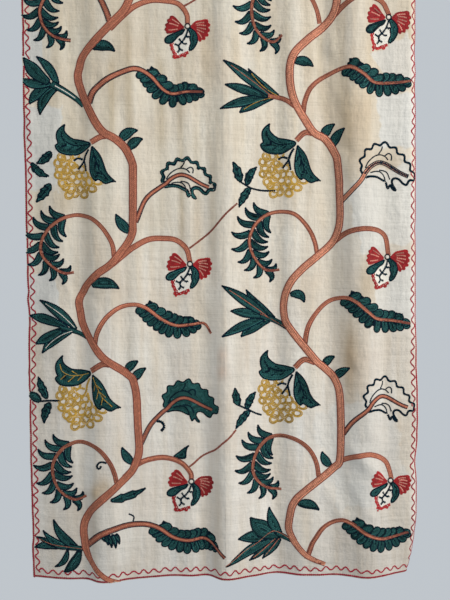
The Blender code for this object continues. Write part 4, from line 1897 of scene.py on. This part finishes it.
@dataclass
class LoomWidth:
    """One loom width of ground cloth, with its turned edges behind."""

    name: str
    node: str
    seam_side: float
    outer: float
    cloth: HungCloth
    material: bpy.types.Material
    curled: bool = False
    columns: Array | None = None
    rows: Array | None = None
    grid: Array | None = None

    BEFORE_CURL = 0.003
    SHARP = 55

    def _columns(self) -> Array:
        """Distances across, with pairs where a turned edge ends."""
        reach = abs(self.outer - self.seam_side)
        side = 1.0 if self.outer > self.seam_side else -1.0
        count = int((reach - SEAM_ALLOWANCE - SIDE_HEM) / CLOTH_PITCH)
        end = reach - SIDE_HEM - TURN_STEP
        body = np.linspace(SEAM_ALLOWANCE + TURN_STEP, end, count)
        if self.curled:
            body = body[body < reach - CURL_WIDTH - self.BEFORE_CURL]
            body = np.concatenate([body, np.arange(reach - CURL_WIDTH, end, CURLED_PITCH)])
        seam = np.linspace(0.0, SEAM_ALLOWANCE, 3)
        hem = np.linspace(reach - SIDE_HEM, reach, 4)
        return np.sort(self.seam_side + side * np.concatenate([seam, body, hem]))

    @staticmethod
    def _rows() -> Array:
        """Distances up, with pairs where the hem and the heading end."""
        count = int((DROP - HEADING - BOTTOM_HEM) / CLOTH_PITCH)
        body = np.linspace(BOTTOM_HEM + TURN_STEP, DROP - HEADING - TURN_STEP, count)
        return np.concatenate([np.linspace(0, BOTTOM_HEM, 4), body, np.linspace(DROP - HEADING, DROP, 6)])

    def front(self, across: Array, up: Array) -> Array:
        """Places on the cloth's own faces, once it is built.

        Args:
            across: Distances from the seam.
            up: Distances above the hem.

        Returns:
            The places.
        """
        columns, rows = self.columns, self.rows
        i = np.clip(np.searchsorted(columns, across) - 1, 0, len(columns) - 2)
        j = np.clip(np.searchsorted(rows, up) - 1, 0, len(rows) - 2)
        u = np.clip((across - columns[i]) / (columns[i + 1] - columns[i]), 0, 1)[:, None]
        v = np.clip((up - rows[j]) / (rows[j + 1] - rows[j]), 0, 1)[:, None]
        return blend(self.grid, i, j, u, v)

    def build(self) -> bpy.types.Object:
        """Builds the cloth and sets it in its CAD node's place.

        Returns:
            The cloth's object.
        """
        self.columns, self.rows = columns, rows = self._columns(), self._rows()
        across, up = np.meshgrid(columns, rows)
        points, normals = self.cloth.at(across.ravel(), up.ravel())
        self.grid = points.reshape(len(rows), len(columns), 3)
        turned_back = np.abs(across - self.seam_side) <= SEAM_ALLOWANCE + NEAR
        turned_back |= np.abs(across - self.outer) <= SIDE_HEM + NEAR
        turned_back |= (up <= BOTTOM_HEM + NEAR) | (up >= DROP - HEADING - NEAR)
        thick = np.where(turned_back, VISIBLE_TURNED, VISIBLE_THICK).ravel()
        back = points - normals * thick[:, None]
        wide, tall = len(columns), len(rows)
        front = np.arange(wide * tall).reshape(tall, wide)
        quads = np.stack([front[:-1, :-1], front[:-1, 1:], front[1:, 1:], front[1:, :-1]], -1).reshape(-1, 4)
        rim = np.concatenate([front[0, :-1], front[:-1, -1], front[-1, :0:-1], front[:0:-1, 0]])
        following = np.roll(rim, -1)
        sides = np.stack([rim, rim + wide * tall, following + wide * tall, following], -1)
        mesh = bpy.data.meshes.new(self.name)
        faces = np.concatenate([quads, quads[:, ::-1] + wide * tall, sides])
        mesh.from_pydata(np.concatenate([points, back]).tolist(), [], faces.tolist())
        self._dress(mesh, np.tile(np.column_stack([across.ravel(), up.ravel()]), (2, 1)))
        piece = add_piece(self.name, mesh)
        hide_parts(self.node)
        log.info("%s: %d by %d points, %d faces", self.name, wide, tall, len(faces))
        return piece

    def _dress(self, mesh: bpy.types.Mesh, flat: Array) -> None:
        """Gives the mesh its cloth distances, its ageing with painted light and shade, its material and its
        sharp edges.
        """
        layer = mesh.uv_layers.new(name="UVMap")
        loops = np.empty(len(mesh.loops), np.int32)
        mesh.loops.foreach_get("vertex_index", loops)
        layer.data.foreach_set("uv", flat[loops].astype(np.float32).ravel())
        tone = mesh.color_attributes.new(name="tone", type="FLOAT_COLOR", domain="POINT")
        tone.data.foreach_set("color", Ageing().tone(flat[:, 0], flat[:, 1]).astype(np.float32).ravel())
        mesh.shade_smooth()
        mesh.set_sharp_from_angle(angle=math.radians(self.SHARP))
        mesh.materials.append(self.material)


def in_scene(name: str, data: bpy.types.ID) -> bpy.types.Object:
    """A new object in the scene, made of the data."""
    made = bpy.data.objects.new(name, data)
    bpy.context.scene.collection.objects.link(made)
    return made


def add_piece(name: str, mesh: bpy.types.Mesh) -> bpy.types.Object:
    """A visible piece, which rides on the root."""
    piece = in_scene(name, mesh)
    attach(piece, "root")
    return piece


@dataclass
class StitchShop:
    """Turns worked stitches into meshes: one small stitch mesh is instanced on every place and made real."""

    cloth: HungCloth
    left: LoomWidth
    right: LoomWidth

    UNEVENNESS = 0.07
    OVERLAP = 1.06
    CHAIN_LINK = (
        (-0.62, 0.0, 0.10), (-0.36, -0.48, -0.15), (-0.36, 0.0, 0.62), (-0.36, 0.48, -0.15),
        (0.30, -0.50, -0.15), (0.30, -0.27, 1.0), (0.30, 0.0, 0.35), (0.30, 0.27, 1.0), (0.30, 0.50, -0.15),
        (0.60, 0.0, 0.30),
    )
    TAIL = ((1, 2, 0), (2, 3, 0))
    BODY = ((4, 5, 2, 1), (5, 6, 2), (6, 7, 2), (7, 8, 3, 2))
    HEAD = ((9, 5, 4), (9, 6, 5), (9, 7, 6), (9, 8, 7))
    BACK_STITCH = (
        (-0.52, -0.44, -0.1), (-0.52, 0.44, -0.1), (-0.34, 0.0, 0.6), (0.34, 0.0, 0.6), (0.52, -0.44, -0.1),
        (0.52, 0.44, -0.1),
    )
    BACK_FACES = ((0, 2, 1), (0, 4, 3, 2), (1, 2, 3, 5), (3, 4, 5))
    PADDING = ((-0.5, -0.5, 1.0), (0.5, -0.5, 1.0), (0.5, 0.5, 1.0), (-0.5, 0.5, 1.0))

    def __post_init__(self) -> None:
        """Makes the stitch shapes and the node tree."""
        self.tree = self._tree()
        self.shapes = {
            Kind.CHAIN: self._shape("chain_link", self.CHAIN_LINK, self.TAIL + self.BODY + self.HEAD),
            Kind.UNDER: self._shape("padding_thread", self.PADDING, ((0, 1, 2, 3),)),
        }
        self.reverse = self._shape("reverse_stitch", self.BACK_STITCH, self.BACK_FACES)

    @staticmethod
    def _shape(name: str, points: tuple, faces: tuple) -> bpy.types.Object:
        """A small mesh with a UV map laid out from above."""
        mesh = bpy.data.meshes.new(name)
        mesh.from_pydata(points, [], faces)
        layer = mesh.uv_layers.new(name="UVMap")
        for loop in mesh.loops:
            x, y, _ = points[loop.vertex_index]
            layer.data[loop.index].uv = (x + 0.5, y + 0.5)
        mesh.shade_smooth()
        return bpy.data.objects.new(name, mesh)

    @staticmethod
    def _tree() -> bpy.types.NodeTree:
        """The node tree: points in, real stitches out."""
        tree = bpy.data.node_groups.new("lay_stitches", "GeometryNodeTree")
        for name, kind in (
            ("Places", "Geometry"), ("Stitch", "Object"), ("Wool", "Material"), ("Unevenness", "Float"),
            ("Seed", "Int"),
        ):
            tree.interface.new_socket(name, in_out="INPUT", socket_type="NodeSocket" + kind)
        tree.interface.new_socket("Stitches", in_out="OUTPUT", socket_type="NodeSocketGeometry")
        nodes = Nodes(tree)
        given = nodes.add("NodeGroupInput").outputs
        along, out, size = (
            nodes.add("GeometryNodeInputNamedAttribute", {"Name": name}, data_type="FLOAT_VECTOR").outputs[0]
            for name in ("along", "out", "size")
        )
        axes = {"Primary Axis": along, "Secondary Axis": out}
        turn = nodes.add("FunctionNodeAxesToRotation", axes, primary_axis="X", secondary_axis="Z")
        chance = nodes.add("FunctionNodeRandomValue", {"Seed": given["Seed"]}, data_type="FLOAT")
        least, most = [socket for socket in chance.inputs if socket.type == "VALUE"][:2]
        tree.links.new(nodes.maths("SUBTRACT", 1.0, given["Unevenness"]), least)
        tree.links.new(nodes.maths("ADD", 1.0, given["Unevenness"]), most)
        drawn = [socket for socket in chance.outputs if socket.type == "VALUE"][0]
        scale = nodes.add("ShaderNodeVectorMath", {0: size, "Scale": drawn}, operation="SCALE")
        shape = nodes.add("GeometryNodeObjectInfo", {"Object": given["Stitch"]})
        lay = nodes.add("GeometryNodeInstanceOnPoints", {
            "Points": given["Places"],
            "Instance": shape.outputs["Geometry"],
            "Rotation": turn.outputs[0],
            "Scale": scale.outputs[0],
        })
        real = nodes.add("GeometryNodeRealizeInstances", {0: lay.outputs[0]})
        paint = nodes.add("GeometryNodeSetMaterial", {"Geometry": real.outputs[0], "Material": given["Wool"]})
        nodes.add("NodeGroupOutput", {0: paint.outputs[0]})
        return tree

    def _points(self, worked: Array, high: float, behind: bool) -> bpy.types.Mesh:
        """A mesh of bare points that say where, which way and how large each stitch is."""
        across, up = worked[:, 0], worked[:, 1]
        _, normal = self.cloth.at(across, up)
        place = np.where((across < 0)[:, None], self.left.front(across, up), self.right.front(across, up))
        across_way, up_way = self.cloth.ways(across, up)
        along = across_way * worked[:, 2:3] + up_way * worked[:, 3:4]
        size = np.column_stack([worked[:, 4] * self.OVERLAP, worked[:, 5], np.full(len(worked), high)])
        if behind:
            edge = LOOM_WIDTH - np.abs(across)
            turned_back = (edge < SIDE_HEM) | (up < BOTTOM_HEM) | (np.abs(across) < SEAM_ALLOWANCE)
            thick = np.where(turned_back | (up > DROP - HEADING), VISIBLE_TURNED, VISIBLE_THICK)
            place = place - normal * thick[:, None]
            normal = -normal
        mesh = bpy.data.meshes.new("places")
        mesh.vertices.add(len(worked))
        mesh.vertices.foreach_set("co", place.astype(np.float32).ravel())
        for name, values in (("along", along), ("out", normal), ("size", size)):
            data = mesh.attributes.new(name, "FLOAT_VECTOR", "POINT").data
            data.foreach_set("vector", values.astype(np.float32).ravel())
        shade = mesh.attributes.new("shade", "FLOAT", "POINT").data
        shade.foreach_set("value", worked[:, 6].astype(np.float32))
        return mesh

    def lay(
        self, name: str, worked: Array, shape: bpy.types.Object, wool: bpy.types.Material, high: float,
        behind: bool, seed: int,
    ) -> bpy.types.Object:
        """Lays stitches and keeps the result as a plain mesh.

        Args:
            name: The piece's name.
            worked: Places, directions, sizes and shades, one stitch a row.
            shape: The stitch mesh.
            wool: The thread's material.
            high: How high a stitch stands.
            behind: True for the reverse of the cloth.
            seed: Seed of the unevenness.

        Returns:
            The piece.
        """
        carrier = in_scene(name + "_places", self._points(worked, high, behind))
        modifier = carrier.modifiers.new("stitches", "NODES")
        modifier.node_group = self.tree
        given = {"Stitch": shape, "Wool": wool, "Unevenness": self.UNEVENNESS, "Seed": seed}
        for item in self.tree.interface.items_tree:
            if item.item_type == "SOCKET" and item.in_out == "INPUT" and item.name in given:
                modifier[item.identifier] = given[item.name]
        carrier.update_tag()
        graph = bpy.context.evaluated_depsgraph_get()
        mesh = bpy.data.meshes.new_from_object(carrier.evaluated_get(graph), depsgraph=graph)
        carrier.modifiers.remove(modifier)
        bpy.data.objects.remove(carrier)
        for spare in ("along", "out", "size"):
            if spare in mesh.attributes:
                mesh.attributes.remove(mesh.attributes[spare])
        mesh.name = name
        triangles = sum(len(face.vertices) - 2 for face in mesh.polygons)
        log.info("%s: %d stitches, %d triangles", name, len(worked), triangles)
        return add_piece(name, mesh)


class Panel:
    """The whole panel."""

    HEIGHTS = {Kind.CHAIN: 0.00115, Kind.UNDER: 0.00030}
    REVERSE_EVERY = 3
    REVERSE_LONGER = 1.7
    REVERSE_WIDTH = 0.0011
    REVERSE_HEIGHT = 0.0005

    def __init__(self) -> None:
        """Hangs the cloth and plans the needlework."""
        self.cloth = HungCloth()
        self.needle = Needlework(self.cloth, Chart())

    def embroider(self) -> None:
        """Works both vines and the border."""
        rows = left_vine().rows() + right_vine().rows()
        for row in sorted(rows, key=lambda row: row.layer.value):
            self.needle.work(row)
        Border(self.needle).work()

    def build(self) -> None:
        """Builds every piece."""
        ground = GroundFinish().build()
        half = SEAM_GAP / 2
        left = LoomWidth("left_width_cloth", "left_width", -half, -LOOM_WIDTH, self.cloth, ground)
        right = LoomWidth("right_width_cloth", "right_width", half, LOOM_WIDTH, self.cloth, ground, True)
        left.build()
        right.build()
        self.embroider()
        shop = StitchShop(self.cloth, left, right)
        worked_parts = sorted(self.needle.stitches.items(), key=lambda item: str(item[0]))
        for number, ((thread, kind), parts) in enumerate(worked_parts):
            worked = np.vstack(parts)
            wool = WoolFinish(thread).build()
            name = f"stitches_{thread.label}_{kind.value}"
            shop.lay(name, worked, shop.shapes[kind], wool, self.HEIGHTS[kind], False, SEED + number)
            if kind is Kind.UNDER:
                continue
            reverse = worked[:: self.REVERSE_EVERY].copy()
            reverse[:, 4] *= self.REVERSE_LONGER
            reverse[:, 5] = self.REVERSE_WIDTH
            seed = REVERSE_SEED + number
            shop.lay(name + "_reverse", reverse, shop.reverse, wool, self.REVERSE_HEIGHT, True, seed)


@dataclass(frozen=True)
class Lamp:
    """A soft rectangular light that faces a target."""

    name: str
    place: tuple[float, float, float]
    size: Span
    power: float
    colour: Colour

    TARGET = (0.0, 0.0, -1.1)

    def build(self) -> None:
        """Hangs the light."""
        data = bpy.data.lights.new(self.name, "AREA")
        data.shape = "RECTANGLE"
        data.size, data.size_y = self.size
        data.energy = self.power
        data.color = self.colour
        lamp = in_scene(self.name, data)
        lamp.location = self.place
        way = Vector(self.TARGET) - Vector(self.place)
        lamp.rotation_euler = way.to_track_quat("-Z", "Y").to_euler()


class Studio:
    """Floor, light and camera."""

    FLOOR = -2.75
    FLOOR_RADIUS = 2.2
    FLOOR_SIDES = 96
    FLOOR_COLOUR = (0.62, 0.64, 0.66, 1.0)
    ROOM = (0.57, 0.61, 0.65, 1.0)
    ROOM_LIGHT = 0.92
    LAMPS = (
        Lamp("window", (2.6, -1.55, 0.0), (1.5, 2.0), 106.0, (1.0, 0.985, 0.96)),
        Lamp("fill", (-1.2, -3.2, 0.4), (2.4, 2.4), 14.0, (0.90, 0.95, 1.0)),
    )
    VIEW_FROM = (-0.0717, -2.554, -1.1593)
    VIEW_ANGLE = 31.12
    FRAME_HEIGHT = 36.0
    YAW = -1.69
    PITCH = -2.44
    ROLL = -0.33

    def build(self) -> None:
        """Builds the studio."""
        self._floor()
        self._room()
        for lamp in self.LAMPS:
            lamp.build()
        self._camera()

    def _floor(self) -> None:
        """A plain pale floor, well below the hem."""
        mesh = bpy.data.meshes.new("floor")
        turns = np.linspace(0, 2 * np.pi, self.FLOOR_SIDES + 1)[:-1]
        ring = [(self.FLOOR_RADIUS * math.cos(a), self.FLOOR_RADIUS * math.sin(a), self.FLOOR) for a in turns]
        mesh.from_pydata(ring, [], [tuple(range(self.FLOOR_SIDES))])
        floor = in_scene("floor", mesh)
        material, nodes, shader = fresh_material("pale_floor")
        nodes.give(shader, {"Base Color": self.FLOOR_COLOUR, "Roughness": 0.9})
        mesh.materials.append(material)

    def _room(self) -> None:
        """A pale blue-grey room."""
        world = bpy.data.worlds.new("room")
        bpy.context.scene.world = world
        world.use_nodes = True
        background = world.node_tree.nodes["Background"]
        Nodes(world.node_tree).give(background, {"Color": self.ROOM, "Strength": self.ROOM_LIGHT})

    def _camera(self) -> None:
        """The view: straight on, a little above the middle of what shows, leaning slightly."""
        data = bpy.data.cameras.new("camera")
        data.sensor_fit = "VERTICAL"
        data.sensor_height = self.FRAME_HEIGHT
        data.lens = self.FRAME_HEIGHT / 2 / math.tan(math.radians(self.VIEW_ANGLE / 2))
        camera = in_scene("camera", data)
        camera.matrix_world = (
            Matrix.Translation(self.VIEW_FROM)
            @ Matrix.Rotation(math.radians(self.YAW), 4, "Z")
            @ Matrix.Rotation(math.radians(90) + math.radians(self.PITCH), 4, "X")
            @ Matrix.Rotation(math.radians(self.ROLL), 4, "Z")
        )
        bpy.context.scene.camera = camera


def main() -> None:
    """Builds the panel and the studio."""
    bpy.context.scene.view_settings.view_transform = "Standard"
    Panel().build()
    Studio().build()


if __name__ == "__main__":
    main()
